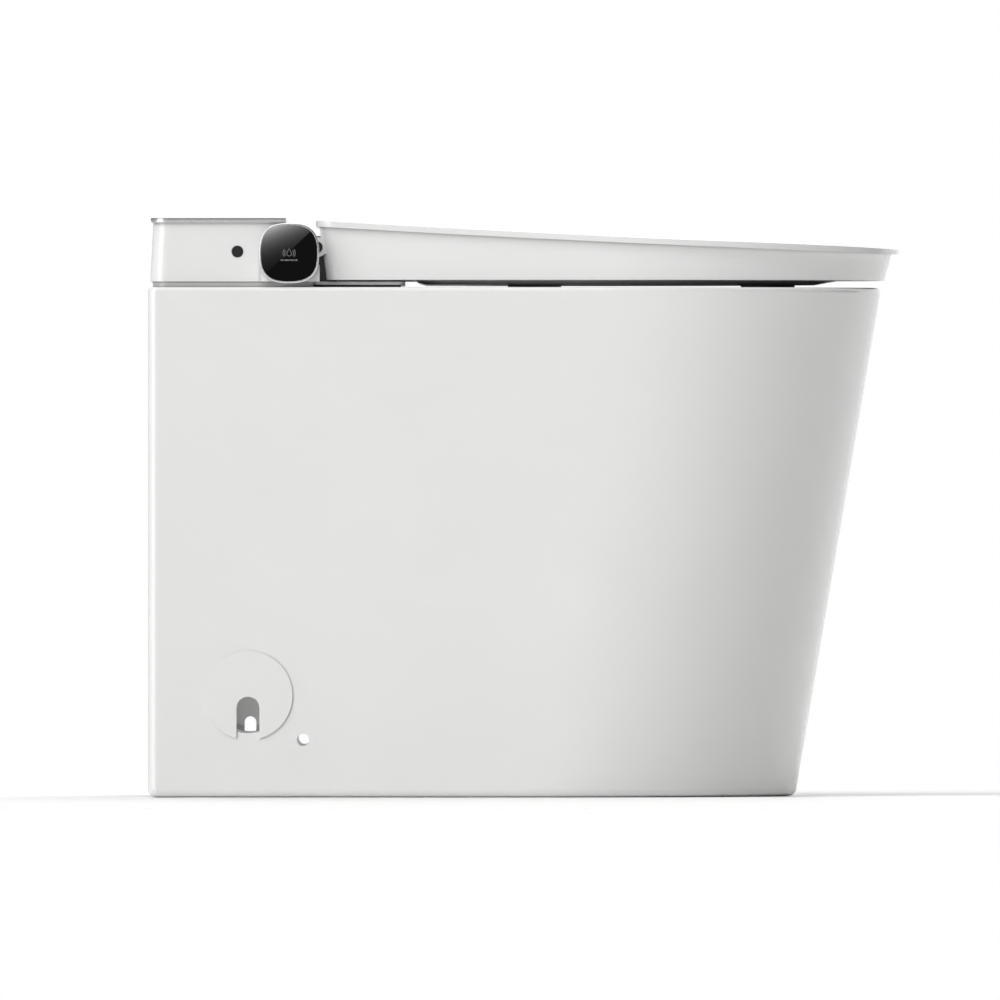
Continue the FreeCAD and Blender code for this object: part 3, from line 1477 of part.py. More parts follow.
def nozzle_wand():
    """The wand with its rack on the right side."""
    radius, length = float(D.wand_diameter) / 2, float(D.wand_length)
    module, behind = float(D.pinion_module), float(D.pinion_behind_tip)
    offset, tall = float(D.rack_offset), float(D.rack_height)
    pitch = math.pi * module
    cap = float(D.cap_length)
    wand = Part.makeCylinder(radius, length - cap, VECTOR(-length, 0, 0), FORWARD)
    first, last = -length + 2, -behind + 1.4 * pitch
    root = offset - 1.1 * module
    wand = wand.fuse(slab(first, last, -root, 0, -tall / 2, tall / 2))
    position = -behind + pitch * (int((last + behind) / pitch + 0.5) - 1.5)
    half_width = pitch / 4 - float(D.tooth_play)
    while position > first + pitch / 2:
        start = VECTOR(position, 0, -tall / 2)
        tooth = tooth_wire(start, FORWARD, -ACROSS, offset, half_width, module)
        wand = wand.fuse(tooth.extrude(VECTOR(0, 0, tall)))
        position -= pitch
    for back in (9, 16):
        wand = wand.cut(Part.makeCylinder(1.6, radius + 1, VECTOR(-back, 0, 0), UP))
    along_wand(wand, "nozzle_wand")
    tip = Part.makeCylinder(radius, cap, VECTOR(-cap, 0, 0), FORWARD)
    rim = [edge for edge in tip.Edges if abs(edge.CenterOfMass.x) < 1e-6 and edge.Length > 1]
    along_wand(tip.makeFillet(2, rim), "nozzle_cap")


def nozzle_pinion():
    """The gear that drives the rack."""
    module, teeth = float(D.pinion_module), int(float(D.pinion_teeth))
    behind, offset = float(D.pinion_behind_tip), float(D.rack_offset)
    tall = float(D.rack_height) - 1
    radius = pinion_radius()
    centre = VECTOR(-behind, -offset - radius, -tall / 2)
    gear = Part.makeCylinder(radius - 1.1 * module, tall, centre, UP)
    half_width = math.pi * module / 4 - float(D.tooth_play)
    for index in range(teeth):
        angle = math.pi / 2 + 2 * math.pi * index / teeth
        out = VECTOR(math.cos(angle), math.sin(angle), 0)
        side = VECTOR(-math.sin(angle), math.cos(angle), 0)
        tooth = tooth_wire(centre, side, out, radius, half_width, module)
        gear = gear.fuse(tooth.extrude(VECTOR(0, 0, tall)))
    bore = Part.makeCylinder(float(D.motor_shaft / 2 + D.running_clearance), tall + 2, centre - UP, UP)
    along_wand(gear.cut(bore), "nozzle_pinion")


def motor_base():
    """The height of the motor's shelf above the wand's axis."""
    return float(D.rack_height) / 2 + 1.6


def nozzle_motor():
    """The motor above the pinion, with its shaft."""
    behind, side = float(D.pinion_behind_tip), -float(D.rack_offset) - pinion_radius()
    tall = float(D.rack_height) - 1
    radius, shaft_radius = float(D.motor_diameter) / 2, float(D.motor_shaft) / 2
    can = Part.makeCylinder(radius, float(D.motor_height), VECTOR(-behind, side, motor_base()), UP)
    shaft = Part.makeCylinder(shaft_radius, tall + 3.5, VECTOR(-behind, side, -tall / 2 - 0.5), UP)
    along_wand(can.fuse(shaft), "nozzle_motor")


def guide_rail():
    """The channel that the wand slides in, with a ring at its front and the motor's shelf at its side."""
    radius = float(D.wand_diameter / 2 + D.wand_clearance)
    length, behind = float(D.wand_length), float(D.pinion_behind_tip)
    wall, wide, reach = float(D.guide_wall), radius + float(D.guide_side), float(D.motor_diameter) / 2
    low = -radius - wall
    bar = slab(-length, -14, -wide, wide, low, -3.8)
    ring = Part.makeCylinder(radius + 2.2, 10, VECTOR(-24, 0, 0), FORWARD)
    bore = Part.makeCylinder(radius, length + 20, VECTOR(-length - 10, 0, 0), FORWARD)
    tall = float(D.rack_height) / 2 + 0.6
    rail = bar.fuse(ring).cut(bore).cut(slab(-30, 0, -30, 0, -tall, tall))
    side, base = -float(D.rack_offset) - pinion_radius(), motor_base()
    plate = slab(-behind - reach, -behind + reach, side - 10, side + 5.8, base - 1.4, base)
    plate = plate.cut(Part.makeCylinder(2.5, 6, VECTOR(-behind, side, base - 3), UP))
    arm = slab(-behind - reach, -behind + reach, side - 12, side - 10, low, base)
    bridge = slab(-behind - reach, -behind + reach, side - 12, 1 - wide, low, -radius)
    rail = rail.fuse([plate, arm, bridge])
    turn = FreeCAD.Placement(nozzle_point(0), FreeCAD.Rotation(ACROSS, float(D.nozzle_angle)))
    rail.transformShape(turn.toMatrix())
    return rail


def nozzle_guide():
    """The rail on two feet behind and one foot beside the slot."""
    radius = float(D.wand_diameter / 2 + D.wand_clearance)
    wide, level = radius + float(D.guide_side), float(D.ceramic_height + D.plinth_height)
    feet = []
    for from_rear in (14, 44):
        spot = nozzle_point(float(D.wand_length) - from_rear, 0, -radius - 2)
        feet.append(slab(spot.x - 5, spot.x + 5, -wide, wide, level, spot.z))
    front = nozzle_point(float(D.pinion_behind_tip) - 4, 0, -radius - 2)
    edge = float(D.nozzle_slot_left)
    feet.append(slab(front.x - 4, front.x + 4, wide - 2, edge + 6, level, front.z + 14))
    feet.append(slab(front.x - 4, front.x + 4, wide - 2, wide, front.z + 0.5, level + 1))
    return shaped(guide_rail().fuse(feet).removeSplitter(), "nozzle_guide")


# --- dryer -----------------------------------------------------------------------------------------------


def dryer_duct_start():
    """The right side of the duct: the side where the fan's scroll blows out."""
    return float(D.fan_offset - D.fan_diameter / 2 - D.scroll_room)


def dryer_housing():
    """The fan's scroll with its duct to the front."""
    x, y = float(D.fan_distance), float(D.fan_offset)
    level = float(D.ceramic_height + D.plinth_height)
    outer = float(D.fan_diameter / 2 + D.scroll_room)
    tall, wall = float(D.fan_height) + 9, float(D.scroll_wall)
    duct, width = float(D.duct_height) + wall, float(D.duct_width)
    start, front = dryer_duct_start(), float(D.deck_plate_front - D.unit_wall) - 0.2
    scroll = Part.makeCylinder(outer, tall, VECTOR(x, y, level), UP)
    channel = slab(x, front, start, start + width, level, level + duct)
    body = scroll.fuse(channel)
    room = Part.makeCylinder(outer - wall, tall - 2 * wall, VECTOR(x, y, level + wall), UP)
    bore = slab(x, front + 1, start + wall, start + width - wall, level + wall, level + duct - wall)
    body = body.cut(room.fuse(bore))
    inlet = Part.makeCylinder(float(D.fan_diameter) / 2 - 8, 5, VECTOR(x, y, level + tall - 3), UP)
    body = body.cut(inlet)
    post = Part.makeCylinder(1.5, tall - wall - 4, VECTOR(x, y, level + wall - 0.5), UP)
    hub = Part.makeCylinder(7, 3, VECTOR(x, y, level + wall - 0.5), UP)
    return shaped(body.fuse([post, hub]).removeSplitter(), "dryer_housing")


def dryer_fan():
    """The wheel with its ring of blades, on the post of the scroll."""
    x, y = float(D.fan_distance), float(D.fan_offset)
    base = float(D.ceramic_height + D.plinth_height) + 5.0
    radius, tall = float(D.fan_diameter) / 2, float(D.fan_height)
    wheel = Part.makeCylinder(radius, 1.4, VECTOR(x, y, base), UP)
    hub = Part.makeCone(9, 5, 9, VECTOR(x, y, base), UP)
    blades = []
    for index in range(18):
        blade = slab(radius - 7, radius - 0.4, -0.5, 0.5, 0.5, tall)
        blade.rotate(VECTOR(), UP, 360 * index / 18)
        blade.translate(VECTOR(x, y, base))
        blades.append(blade)
    wheel = wheel.fuse([hub] + blades)
    bore = Part.makeCylinder(1.5 + float(D.running_clearance), tall, VECTOR(x, y, base - 1), UP)
    return shaped(wheel.cut(bore).removeSplitter(), "dryer_fan")


# --- inside --------------------------------------------------------------------------------------------


def tray_level():
    """The height of the tray's upper side."""
    return D.ceramic_height + D.plinth_height


def flush_tank():
    """The reserve tank that hangs from the tray through the opening of the deck."""
    half, top = D.deck_opening_width / 2 - D.tank_side_gap, D.ceramic_height
    bottom = top - D.tank_height
    tank = box(D.tank_rear, D.tank_front, -half, half, bottom, top)
    wall = D.tank_wall
    room = box(D.tank_rear + wall, D.tank_front - wall, wall - half, half - wall, bottom + wall, top + 1)
    subpart(without(tank, [room]), "flush_tank")


def flush_pump():
    """The pump's can under the tank, with the post that its impeller turns on."""
    bottom = D.ceramic_height - D.tank_height - D.pump_height
    x, wall = (D.tank_rear + D.tank_front) / 2, D.pump_wall
    radius = D.pump_diameter / 2
    can = cylinder(x, 0, bottom, radius, D.pump_height)
    room = cylinder(x, 0, bottom + wall, radius - wall, D.pump_height - wall + 1)
    post = cylinder(x, 0, bottom + wall / 2, D.pump_post / 2, D.pump_height - 18)
    subpart(fused([without(can, [room]), post]), "flush_pump")
    pump_impeller(x, bottom + 2 * wall)


def pump_impeller(x, low):
    """A plate with upright vanes round a hub."""
    plate = D.impeller_plate
    wheel = cylinder(x, 0, low, D.impeller_diameter / 2, plate)
    hub = cylinder(x, 0, low, D.pump_post / 2 + 6, plate + D.vane_height - 1)
    vanes = []
    count = int(float(D.vane_count))
    for index in range(count):
        vane = doc.addObject("Part::Box", "Vane")
        bind(vane, "Length", D.vane_length)
        bind(vane, "Width", 3)
        bind(vane, "Height", D.vane_height)
        angle = 360 * index / count
        vane.Placement = FreeCAD.Placement(VECTOR(), FreeCAD.Rotation(UP, angle))
        c, s = math.cos(math.radians(angle)), math.sin(math.radians(angle))
        place(vane, x + 7 * c, size(7 * s), low + plate - 1)
        vanes.append(vane)
    bore = cylinder(x, 0, low - 3, D.pump_post / 2 + D.running_clearance, D.pump_height / 2)
    subpart(without(fused([wheel, hub] + vanes), [bore]), "pump_impeller")


def jet_pipe():
    """The pipe from the pump to the jet in the bowl's rear wall."""
    x = (D.tank_rear + D.tank_front) / 2 + D.pump_diameter / 2
    z = D.jet_height
    end = size(jet_end() - 6)
    pipe = cylinder(x - 1, 0, z, D.jet_diameter / 2, end - x + 1, "x")
    bore = cylinder(x - 3, 0, z, D.jet_diameter / 2 - D.jet_wall, end - x + 10, "x")
    can = cylinder(x - D.pump_diameter / 2, 0, z - 60, D.pump_diameter / 2, size(120))
    subpart(without(pipe, [bore, can]), "jet_pipe")


def turned(label, profile, x, y):
    """A piece turned on a lathe, from radii and heights of its half section."""
    body = new_body(label)
    place(body, 0, y, 0)
    body.setExpression("Placement.Base.x", f"{size(x).text} - {HALF_LENGTH.text}")
    sketch = new_sketch(body, "XZ_Plane")
    polygon(sketch, profile)
    feature = body.newObject("PartDesign::Revolution", "Revolution")
    feature.Profile = sketch
    feature.ReferenceAxis = (sketch, ["V_Axis"])
    feature.Angle = 360
    return body


def water_inlet():
    """The threaded spigot for the supply hose, under the tray on the right."""
    top = D.ceramic_height
    thread, bore = D.inlet_thread / 2, size(6)
    flange = D.service_port_radius - 1.5
    profile = (
        (bore, top - 76),
        (thread, top - 76),
        (thread, top - 40),
        (flange - 3, top - 40),
        (flange - 3, top - 30),
        (thread, top - 30),
        (thread, top - 5),
        (flange, top - 5),
        (flange, top),
        (bore, top),
    )
    turned("water_inlet", profile, D.service_port_distance, -port_offset())


def cable_gland():
    """The gland for the mains cable, under the tray on the left."""
    top = D.ceramic_height
    bore = D.cable_diameter / 2
    flange = D.service_port_radius - 1.5
    profile = (
        (bore, top - 34),
        (bore + 3, top - 34),
        (bore + 6, top - 22),
        (bore + 8, top - 22),
        (bore + 8, top - 12),
        (bore + 6, top - 12),
        (bore + 6, top - 5),
        (flange, top - 5),
        (flange, top),
        (bore, top),
    )
    turned("cable_gland", profile, D.service_port_distance, port_offset())


def control_board():
    """The circuit board on the tray's pins, with its larger components."""
    rear, right = D.board_rear, -D.board_right
    low = tray_level() + D.board_standoff
    top = low + D.board_thickness
    parts = [box(rear, D.board_front, right, -D.board_left, low, top)]
    # rear and front, right and left from the board's corner, and height
    components = ((12, 52, 7, 31, 16), (60, 76, 5, 21, 9), (82, 90, 9, 63, 7), (10, 30, 43, 67, 12))
    for x0, x1, y0, y1, tall in components:
        parts.append(box(rear + x0, rear + x1, right + y0, right + y1, top, top + tall))
    for offset in (37, 51, 65):
        parts.append(cylinder(rear + 52, right + offset, top, size(4.5), size(14)))
    subpart(fused(parts), "control_board")


def power_supply():
    """The closed mains unit on the left, with cooling slots above."""
    body = new_body("power_supply")
    rear, top = D.supply_rear, tray_level() + D.supply_height
    left = tray_half() - 8
    block = new_sketch(body, "XY_Plane", tray_level())
    rounded_rectangle(block, rear, D.supply_front, left - D.supply_width, left, size(3))
    pad(body, block, D.supply_height)
    slots = new_sketch(body, "XY_Plane", top)
    side, width, margin = left - D.supply_width, 3, 14
    near, far = side + margin / 2, left - margin / 2
    first = rear + margin
    polygon(slots, ((first, near), (first + width, near), (first + width, far), (first, far)))
    cut = pocket(body, slots, size(2))
    row = body.newObject("PartDesign::LinearPattern", "Slots")
    row.Originals = [cut]
    row.Direction = (slots, ["H_Axis"])
    bind(row, "Length", D.supply_front - rear - 2 * margin - width)
    row.Occurrences = 9
    body.Tip = row


def water_heater():
    """The instant heater with an inlet and an outlet nipple."""
    low, rear = tray_level(), D.heater_rear
    tank = box(rear, D.heater_front, -D.heater_right, -D.heater_left, low, low + D.heater_height)
    radius, length = D.hose_nipple / 2, D.hose_nipple
    sides = (12 - D.heater_right, -D.heater_left - 12)
    nipples = [cylinder(rear - length, y, low + 12, radius, length + 2, "x") for y in sides]
    subpart(fused([tank] + nipples), "water_heater")


def solenoid_valve():
    """The supply valve with its coil and an outlet nipple."""
    low, half = tray_level(), D.valve_half_width
    top, x = low + D.valve_height, (D.valve_rear + D.valve_front) / 2
    body = box(D.valve_rear, D.valve_front, -half, half, low, top)
    coil = cylinder(x, 0, top, D.coil_diameter / 2, D.coil_height)
    nipple = cylinder(x, -half - 12, low + 12, D.hose_nipple / 2, size(14), "y")
    subpart(fused([body, coil, nipple]), "solenoid_valve")


# --- build and write -----------------------------------------------------------------------------------


def build():
    ceramic_pedestal()
    drain_seal()
    access_cover("right", -1, D.hose_notch_width, D.hose_notch_top)
    access_cover("left", 1, D.cable_notch_width, D.cable_notch_top)
    base_tray()
    deck_gasket()
    tray_bolts()
    rear_housing()
    housing_ears()
    rear_top_cover()
    cover_trim()
    for name, sign in SIDES:
        hinge_post(name, sign)
        hinge_pin(name, sign)
        hinge_damper(name, sign)
    unit_cover()
    seat_shells()
    seat_bumpers()
    lid_plate()
    lid_skirt()
    lid_bumpers()
    knob()
    knob_spindle()
    knob_encoder()
    flush_button()
    button_switch()
    nozzle_wand()
    nozzle_pinion()
    nozzle_motor()
    nozzle_guide()
    dryer_housing()
    dryer_fan()
    flush_tank()
    flush_pump()
    jet_pipe()
    water_inlet()
    cable_gland()
    control_board()
    power_supply()
    water_heater()
    solenoid_valve()
    doc.recompute()


def check_and_write():
    """Stop on any failed object, then write each sub-part to its own file."""
    for obj in doc.Objects:
        if "Invalid" in obj.State or "Error" in obj.State:
            raise RuntimeError(f"{obj.Label} failed: {obj.State}")
    for obj in SUBPARTS:
        if obj.Shape.isNull() or not obj.Shape.isValid():
            raise RuntimeError(f"{obj.Label} has no valid shape")
    os.makedirs("parts", exist_ok=True)
    for obj in SUBPARTS:
        obj.Shape.exportStep(f"parts/{obj.Label}.step")
        count, bounds = len(obj.Shape.Solids), obj.Shape.BoundBox
        print(f"{obj.Label}: {count} solid(s), {obj.Shape.Volume / 1000:.1f} cm3, {bounds}")


build()
check_and_write()
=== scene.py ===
import math

import bmesh
import bpy
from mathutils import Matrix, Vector


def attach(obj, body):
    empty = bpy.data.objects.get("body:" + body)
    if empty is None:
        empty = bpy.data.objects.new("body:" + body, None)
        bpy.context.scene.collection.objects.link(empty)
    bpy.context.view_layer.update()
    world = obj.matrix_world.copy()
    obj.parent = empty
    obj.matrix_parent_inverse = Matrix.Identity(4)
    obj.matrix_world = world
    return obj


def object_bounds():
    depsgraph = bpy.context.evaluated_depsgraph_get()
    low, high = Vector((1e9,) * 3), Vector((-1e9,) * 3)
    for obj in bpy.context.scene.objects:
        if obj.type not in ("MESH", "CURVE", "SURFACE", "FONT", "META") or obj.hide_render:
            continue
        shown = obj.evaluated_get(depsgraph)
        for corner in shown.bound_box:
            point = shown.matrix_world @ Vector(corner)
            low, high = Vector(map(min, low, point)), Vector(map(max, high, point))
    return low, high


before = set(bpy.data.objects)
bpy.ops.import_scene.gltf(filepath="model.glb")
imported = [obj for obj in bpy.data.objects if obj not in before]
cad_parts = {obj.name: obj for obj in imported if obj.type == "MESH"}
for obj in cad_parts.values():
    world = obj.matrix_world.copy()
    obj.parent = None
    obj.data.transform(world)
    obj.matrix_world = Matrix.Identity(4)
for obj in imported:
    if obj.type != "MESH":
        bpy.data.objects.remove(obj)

CAD_BOX = [list(corner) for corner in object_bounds()]
MM = 0.001


# --- stage, camera and lights --------------------------------------------------------------------

# what the photograph spans across, in metres, and the place at its middle
PHOTO_WIDTH = 0.9
PHOTO_CENTRE = (-0.0222, 0.2673)
SENSOR, LENS = 36.0, 1600.0
FLOOR_RADIUS = 1.6
FLOOR_DROP = 0.0005


def make_camera():
    """A level side view from the right, from so far that perspective all but vanishes."""
    data = bpy.data.cameras.new("photo_camera")
    data.sensor_width, data.lens = SENSOR, LENS
    near_side = min(corner[1] for corner in CAD_BOX)
    distance = PHOTO_WIDTH * LENS / SENSOR
    data.clip_start, data.clip_end = 1.0, 3 * distance
    camera = bpy.data.objects.new("photo_camera", data)
    camera.location = (PHOTO_CENTRE[0], near_side - distance, PHOTO_CENTRE[1])
    camera.rotation_euler = (math.pi / 2, 0, 0)
    bpy.context.collection.objects.link(camera)
    bpy.context.scene.camera = camera


def make_floor():
    """A round pale floor that a level view sees edge-on."""
    mesh = bpy.data.meshes.new("floor")
    shape = bmesh.new()
    bmesh.ops.create_circle(shape, cap_ends=True, radius=FLOOR_RADIUS, segments=96)
    shape.to_mesh(mesh)
    shape.free()
    floor = bpy.data.objects.new("floor", mesh)
    floor.location = (0, 0, -FLOOR_DROP)
    bpy.context.collection.objects.link(floor)
    skin = new_material("floor_paint", (0.88, 0.88, 0.875), roughness=0.75)
    speckle(skin, scale=18, amount=0.008)
    mesh.materials.append(skin.material)


class Sky:
    """A sum of soft lobes of light around the object, each given by a direction."""

    def __init__(self, tree):
        self.nodes, self.links = tree.nodes, tree.links
        self.direction = self.nodes.new("ShaderNodeTexCoord").outputs["Generated"]
        self.total = None

    def add(self, value):
        if self.total is None:
            self.total = value
            return
        both = self.nodes.new("ShaderNodeMath")
        self.links.new(self.total, both.inputs[0])
        self.links.new(value, both.inputs[1])
        self.total = both.outputs["Value"]

    def lobe(self, towards, start, full, strength):
        """Light that grows from a start to its full width of the cosine from a direction."""
        angle = self.nodes.new("ShaderNodeVectorMath")
        angle.operation = "DOT_PRODUCT"
        angle.inputs[1].default_value = Vector(towards).normalized()
        self.links.new(self.direction, angle.inputs[0])
        spread = self.nodes.new("ShaderNodeMapRange")
        spread.interpolation_type = "SMOOTHSTEP"
        spread.inputs["From Min"].default_value = start
        spread.inputs["From Max"].default_value = full
        spread.inputs["To Min"].default_value = 0.0
        spread.inputs["To Max"].default_value = strength
        self.links.new(angle.outputs["Value"], spread.inputs["Value"])
        self.add(spread.outputs["Result"])

    def above_floor(self, floor_light):
        """The lobes above the horizon, and below it the even light of a floor without an end."""
        bright = self.nodes.new("ShaderNodeMath")
        bright.operation = "MAXIMUM"
        bright.inputs[1].default_value = 0.0
        self.links.new(self.total, bright.inputs[0])
        parts = self.nodes.new("ShaderNodeSeparateXYZ")
        self.links.new(self.direction, parts.inputs["Vector"])
        height = self.nodes.new("ShaderNodeMapRange")
        height.inputs["From Min"].default_value = -0.03
        height.inputs["From Max"].default_value = 0.0
        self.links.new(parts.outputs["Z"], height.inputs["Value"])
        mix = self.nodes.new("ShaderNodeMix")
        mix.inputs["A"].default_value = floor_light
        self.links.new(height.outputs["Result"], mix.inputs["Factor"])
        self.links.new(bright.outputs["Value"], mix.inputs["B"])
        return mix.outputs["Result"]


# direction, cosine where the light starts, cosine where it is full, strength: the negative ones
# take light away, so that the front's curve shades as it does in the photograph
SKY_LOBES = (
    ((0, 0, 1), -2.0, -1.5, 0.591),
    ((0, 0, 1), 0.2, 1.0, 1.523),
    ((0.17, -0.985, 0), 0.172, 0.292, 2.614),
    ((0.362, 0.932, 0), 0.156, 0.74, 1.561),
    ((0.738, -0.675, 0), 0.153, 0.4, -2.6),
    ((0.63, -0.776, 0), 0.29, 0.41, -1.985),
    ((0.82, 0.572, 0), -0.6, 0.1, -0.94),
    ((-1, 0, 0), -0.022, 0.888, -1.418),
    ((-0.104, -0.995, 0), 0.3, 0.6, 1.448),
)
FLOOR_LIGHT = 1.0
BACKDROP_LIGHT = 1.0


def make_sky():
    """Soft studio light from all round; the backdrop itself is seen as plain white."""
    world = bpy.data.worlds.new("studio")
    bpy.context.scene.world = world
    world.use_nodes = True
    nodes, links = world.node_tree.nodes, world.node_tree.links
    nodes.clear()
    sky = Sky(world.node_tree)
    for lobe in SKY_LOBES:
        sky.lobe(*lobe)
    given = nodes.new("ShaderNodeBackground")
    given.inputs["Color"].default_value = (1, 1, 1, 1)
    links.new(sky.above_floor(FLOOR_LIGHT), given.inputs["Strength"])
    seen = nodes.new("ShaderNodeBackground")
    seen.inputs["Color"].default_value = (1, 1, 1, 1)
    seen.inputs["Strength"].default_value = BACKDROP_LIGHT
    path = nodes.new("ShaderNodeLightPath")
    mix = nodes.new("ShaderNodeMixShader")
    links.new(path.outputs["Is Camera Ray"], mix.inputs["Fac"])
    links.new(given.outputs["Background"], mix.inputs[1])
    links.new(seen.outputs["Background"], mix.inputs[2])
    output = nodes.new("ShaderNodeOutputWorld")
    links.new(mix.outputs["Shader"], output.inputs["Surface"])
    bpy.context.scene.view_settings.view_transform = "Standard"


# --- materials -------------------------------------------------------------------------------------

# the painted reflection's logarithm: how it grows per metre, and its level; and the straight edge that cuts
# it off
PAINTED_SHEEN_RISE, PAINTED_SHEEN_LEVEL = (-50.0, 0.0, 125.6), -76.63
PAINTED_SHEEN_EDGE = (-0.683, 0.0, 0.7305)
PAINTED_SHEEN_EDGE_WIDTH = 0.0003
PAINTED_SHEEN_EDGE_PLACE = 0.683 * -0.20418 - 0.7305 * 0.49806

# the height above which the trim's colour is dimmed as a painted dark reflection, and how softly
TRIM_PAINTED_DARK_EDGE = 0.5195
TRIM_PAINTED_DARK_EDGE_WIDTH = 0.0006


class Skin:
    """A Principled material with handles on its node tree."""

    def __init__(self, material, shader):
        self.material = material
        self.nodes = material.node_tree.nodes
        self.links = material.node_tree.links
        self.shader = shader
        self.colour = shader.inputs["Base Color"].default_value[:]


def new_material(name, colour, roughness=0.3, metallic=0.0, coat=0.0, specular=0.5):
    material = bpy.data.materials.new(name)
    material.use_nodes = True
    shader = material.node_tree.nodes["Principled BSDF"]
    shader.inputs["Base Color"].default_value = (*colour, 1)
    shader.inputs["Roughness"].default_value = roughness
    shader.inputs["Metallic"].default_value = metallic
    shader.inputs["Coat Weight"].default_value = coat
    shader.inputs["Coat Roughness"].default_value = 0.04
    shader.inputs["Specular IOR Level"].default_value = specular
    return Skin(material, shader)


def node(skin, kind, **values):
    made = skin.nodes.new(kind)
    for name, value in values.items():
        made.inputs[name].default_value = value
    return made


def position(skin, stretch=(1, 1, 1)):
    """The place on the object in metres, stretched along an axis for brushed or drawn marks."""
    place = skin.nodes.new("ShaderNodeTexCoord")
    mapping = skin.nodes.new("ShaderNodeMapping")
    mapping.inputs["Scale"].default_value = stretch
    skin.links.new(place.outputs["Object"], mapping.inputs["Vector"])
    return mapping.outputs["Vector"]


def noise(skin, scale, detail=2.0, stretch=(1, 1, 1)):
    texture = node(skin, "ShaderNodeTexNoise", Scale=scale, Detail=detail)
    skin.links.new(position(skin, stretch), texture.inputs["Vector"])
    return texture.outputs["Fac"]


def ranged(skin, value, low, high):
    """A texture's 0..1 spread over a small range."""
    spread = node(skin, "ShaderNodeMapRange")
    spread.inputs["From Min"].default_value = 0.3
    spread.inputs["From Max"].default_value = 0.7
    spread.inputs["To Min"].default_value = low
    spread.inputs["To Max"].default_value = high
    skin.links.new(value, spread.inputs["Value"])
    return spread.outputs["Result"]


def speckle(skin, scale, amount):
    """A faint cloudiness of the colour."""
    ramp = skin.nodes.new("ShaderNodeValToRGB")
    base = skin.colour[:3]
    ramp.color_ramp.elements[0].position = 0.3
    ramp.color_ramp.elements[1].position = 0.7
    ramp.color_ramp.elements[0].color = (*[max(c * (1 - amount), 0) for c in base], 1)
    ramp.color_ramp.elements[1].color = (*[min(c * (1 + amount), 1) for c in base], 1)
    skin.links.new(noise(skin, scale), ramp.inputs["Fac"])
    skin.links.new(ramp.outputs["Color"], skin.shader.inputs["Base Color"])


def dim(skin, share):
    """Scale the colour that the skin has so far by a share."""
    colour = skin.shader.inputs["Base Color"].links[0].from_socket
    product = skin.nodes.new("ShaderNodeVectorMath")
    product.operation = "SCALE"
    skin.links.new(colour, product.inputs["Vector"])
    skin.links.new(share, product.inputs["Scale"])
    skin.links.new(product.outputs["Vector"], skin.shader.inputs["Base Color"])


def painted_crevice_shade(skin, reach, depth):
    """Painted shade: darken the colour where surfaces close in on each other within a short reach, standing
    in for the shade in crevices and under overhangs.
    """
    shadow = skin.nodes.new("ShaderNodeAmbientOcclusion")
    shadow.samples = 8
    shadow.inputs["Distance"].default_value = reach
    spread = node(skin, "ShaderNodeMapRange")
    spread.inputs["From Min"].default_value = 0.45
    spread.inputs["From Max"].default_value = 0.95
    spread.inputs["To Min"].default_value = 1 - depth
    spread.inputs["To Max"].default_value = 1.0
    skin.links.new(shadow.outputs["AO"], spread.inputs["Value"])
    dim(skin, spread.outputs["Result"])


def uneven_gloss(skin, scale, low, high, stretch=(1, 1, 1)):
    skin.links.new(ranged(skin, noise(skin, scale, 3.0, stretch), low, high), skin.shader.inputs["Roughness"])


def relief(skin, scale, depth, detail=2.0, stretch=(1, 1, 1), edge=0.0):
    """A fine surface relief, on edges that are rounded over a small radius."""
    bump = node(skin, "ShaderNodeBump", Strength=1.0, Distance=depth)
    skin.links.new(noise(skin, scale, detail, stretch), bump.inputs["Height"])
    if edge:
        bevel = skin.nodes.new("ShaderNodeBevel")
        bevel.samples = 6
        bevel.inputs["Radius"].default_value = edge
        skin.links.new(bevel.outputs["Normal"], bump.inputs["Normal"])
    skin.links.new(bump.outputs["Normal"], skin.shader.inputs["Normal"])


def glaze():
    """White sanitary glaze: deep gloss with a very slight waviness and soft clouds in the white."""
    skin = new_material("ceramic_glaze", (0.775, 0.775, 0.77), roughness=0.12, coat=0.35)
    speckle(skin, 9, 0.008)
    uneven_gloss(skin, 35, 0.1, 0.16)
    relief(skin, 26, 0.00035)
    return skin.material


def white_plastic(name, colour, roughness, edge=0.0005, shade=0.4):
    """Moulded white plastic with an orange-peel skin and painted shade in its crevices."""
    skin = new_material(name, colour, roughness=roughness, coat=0.25)
    speckle(skin, 14, 0.006)
    # painted shade: the colour darkens in crevices and under overhangs
    painted_crevice_shade(skin, 0.004, shade)
    uneven_gloss(skin, 60, roughness * 0.85, roughness * 1.2)
    relief(skin, 420, 0.00002, 3.0, edge=edge)
    return skin.material


def dark_plastic(name, colour, roughness=0.42, specular=0.5):
    skin = new_material(name, colour, roughness=roughness, specular=specular)
    speckle(skin, 120, 0.12)
    uneven_gloss(skin, 300, roughness * 0.8, roughness * 1.2)
    relief(skin, 1600, 0.00003, 4.0, edge=0.0004)
    return skin.material


def soft_rubber(name, colour):
    skin = new_material(name, colour, roughness=0.6, specular=0.35)
    speckle(skin, 90, 0.08)
    uneven_gloss(skin, 200, 0.52, 0.7)
    relief(skin, 900, 0.00004, 3.0, edge=0.0006)
    return skin.material


def metal_skin(name, colour, roughness, stretch=(1, 1, 1), depth=0.000006):
    """Metal with drawn marks along one direction."""
    skin = new_material(name, colour, roughness=roughness, metallic=1.0)
    speckle(skin, 60, 0.03)
    uneven_gloss(skin, 700, roughness * 0.7, roughness * 1.4, stretch)
    relief(skin, 900, depth, 3.0, stretch, edge=0.0003)
    return skin


def metal(name, colour, roughness, stretch=(1, 1, 1)):
    return metal_skin(name, colour, roughness, stretch).material


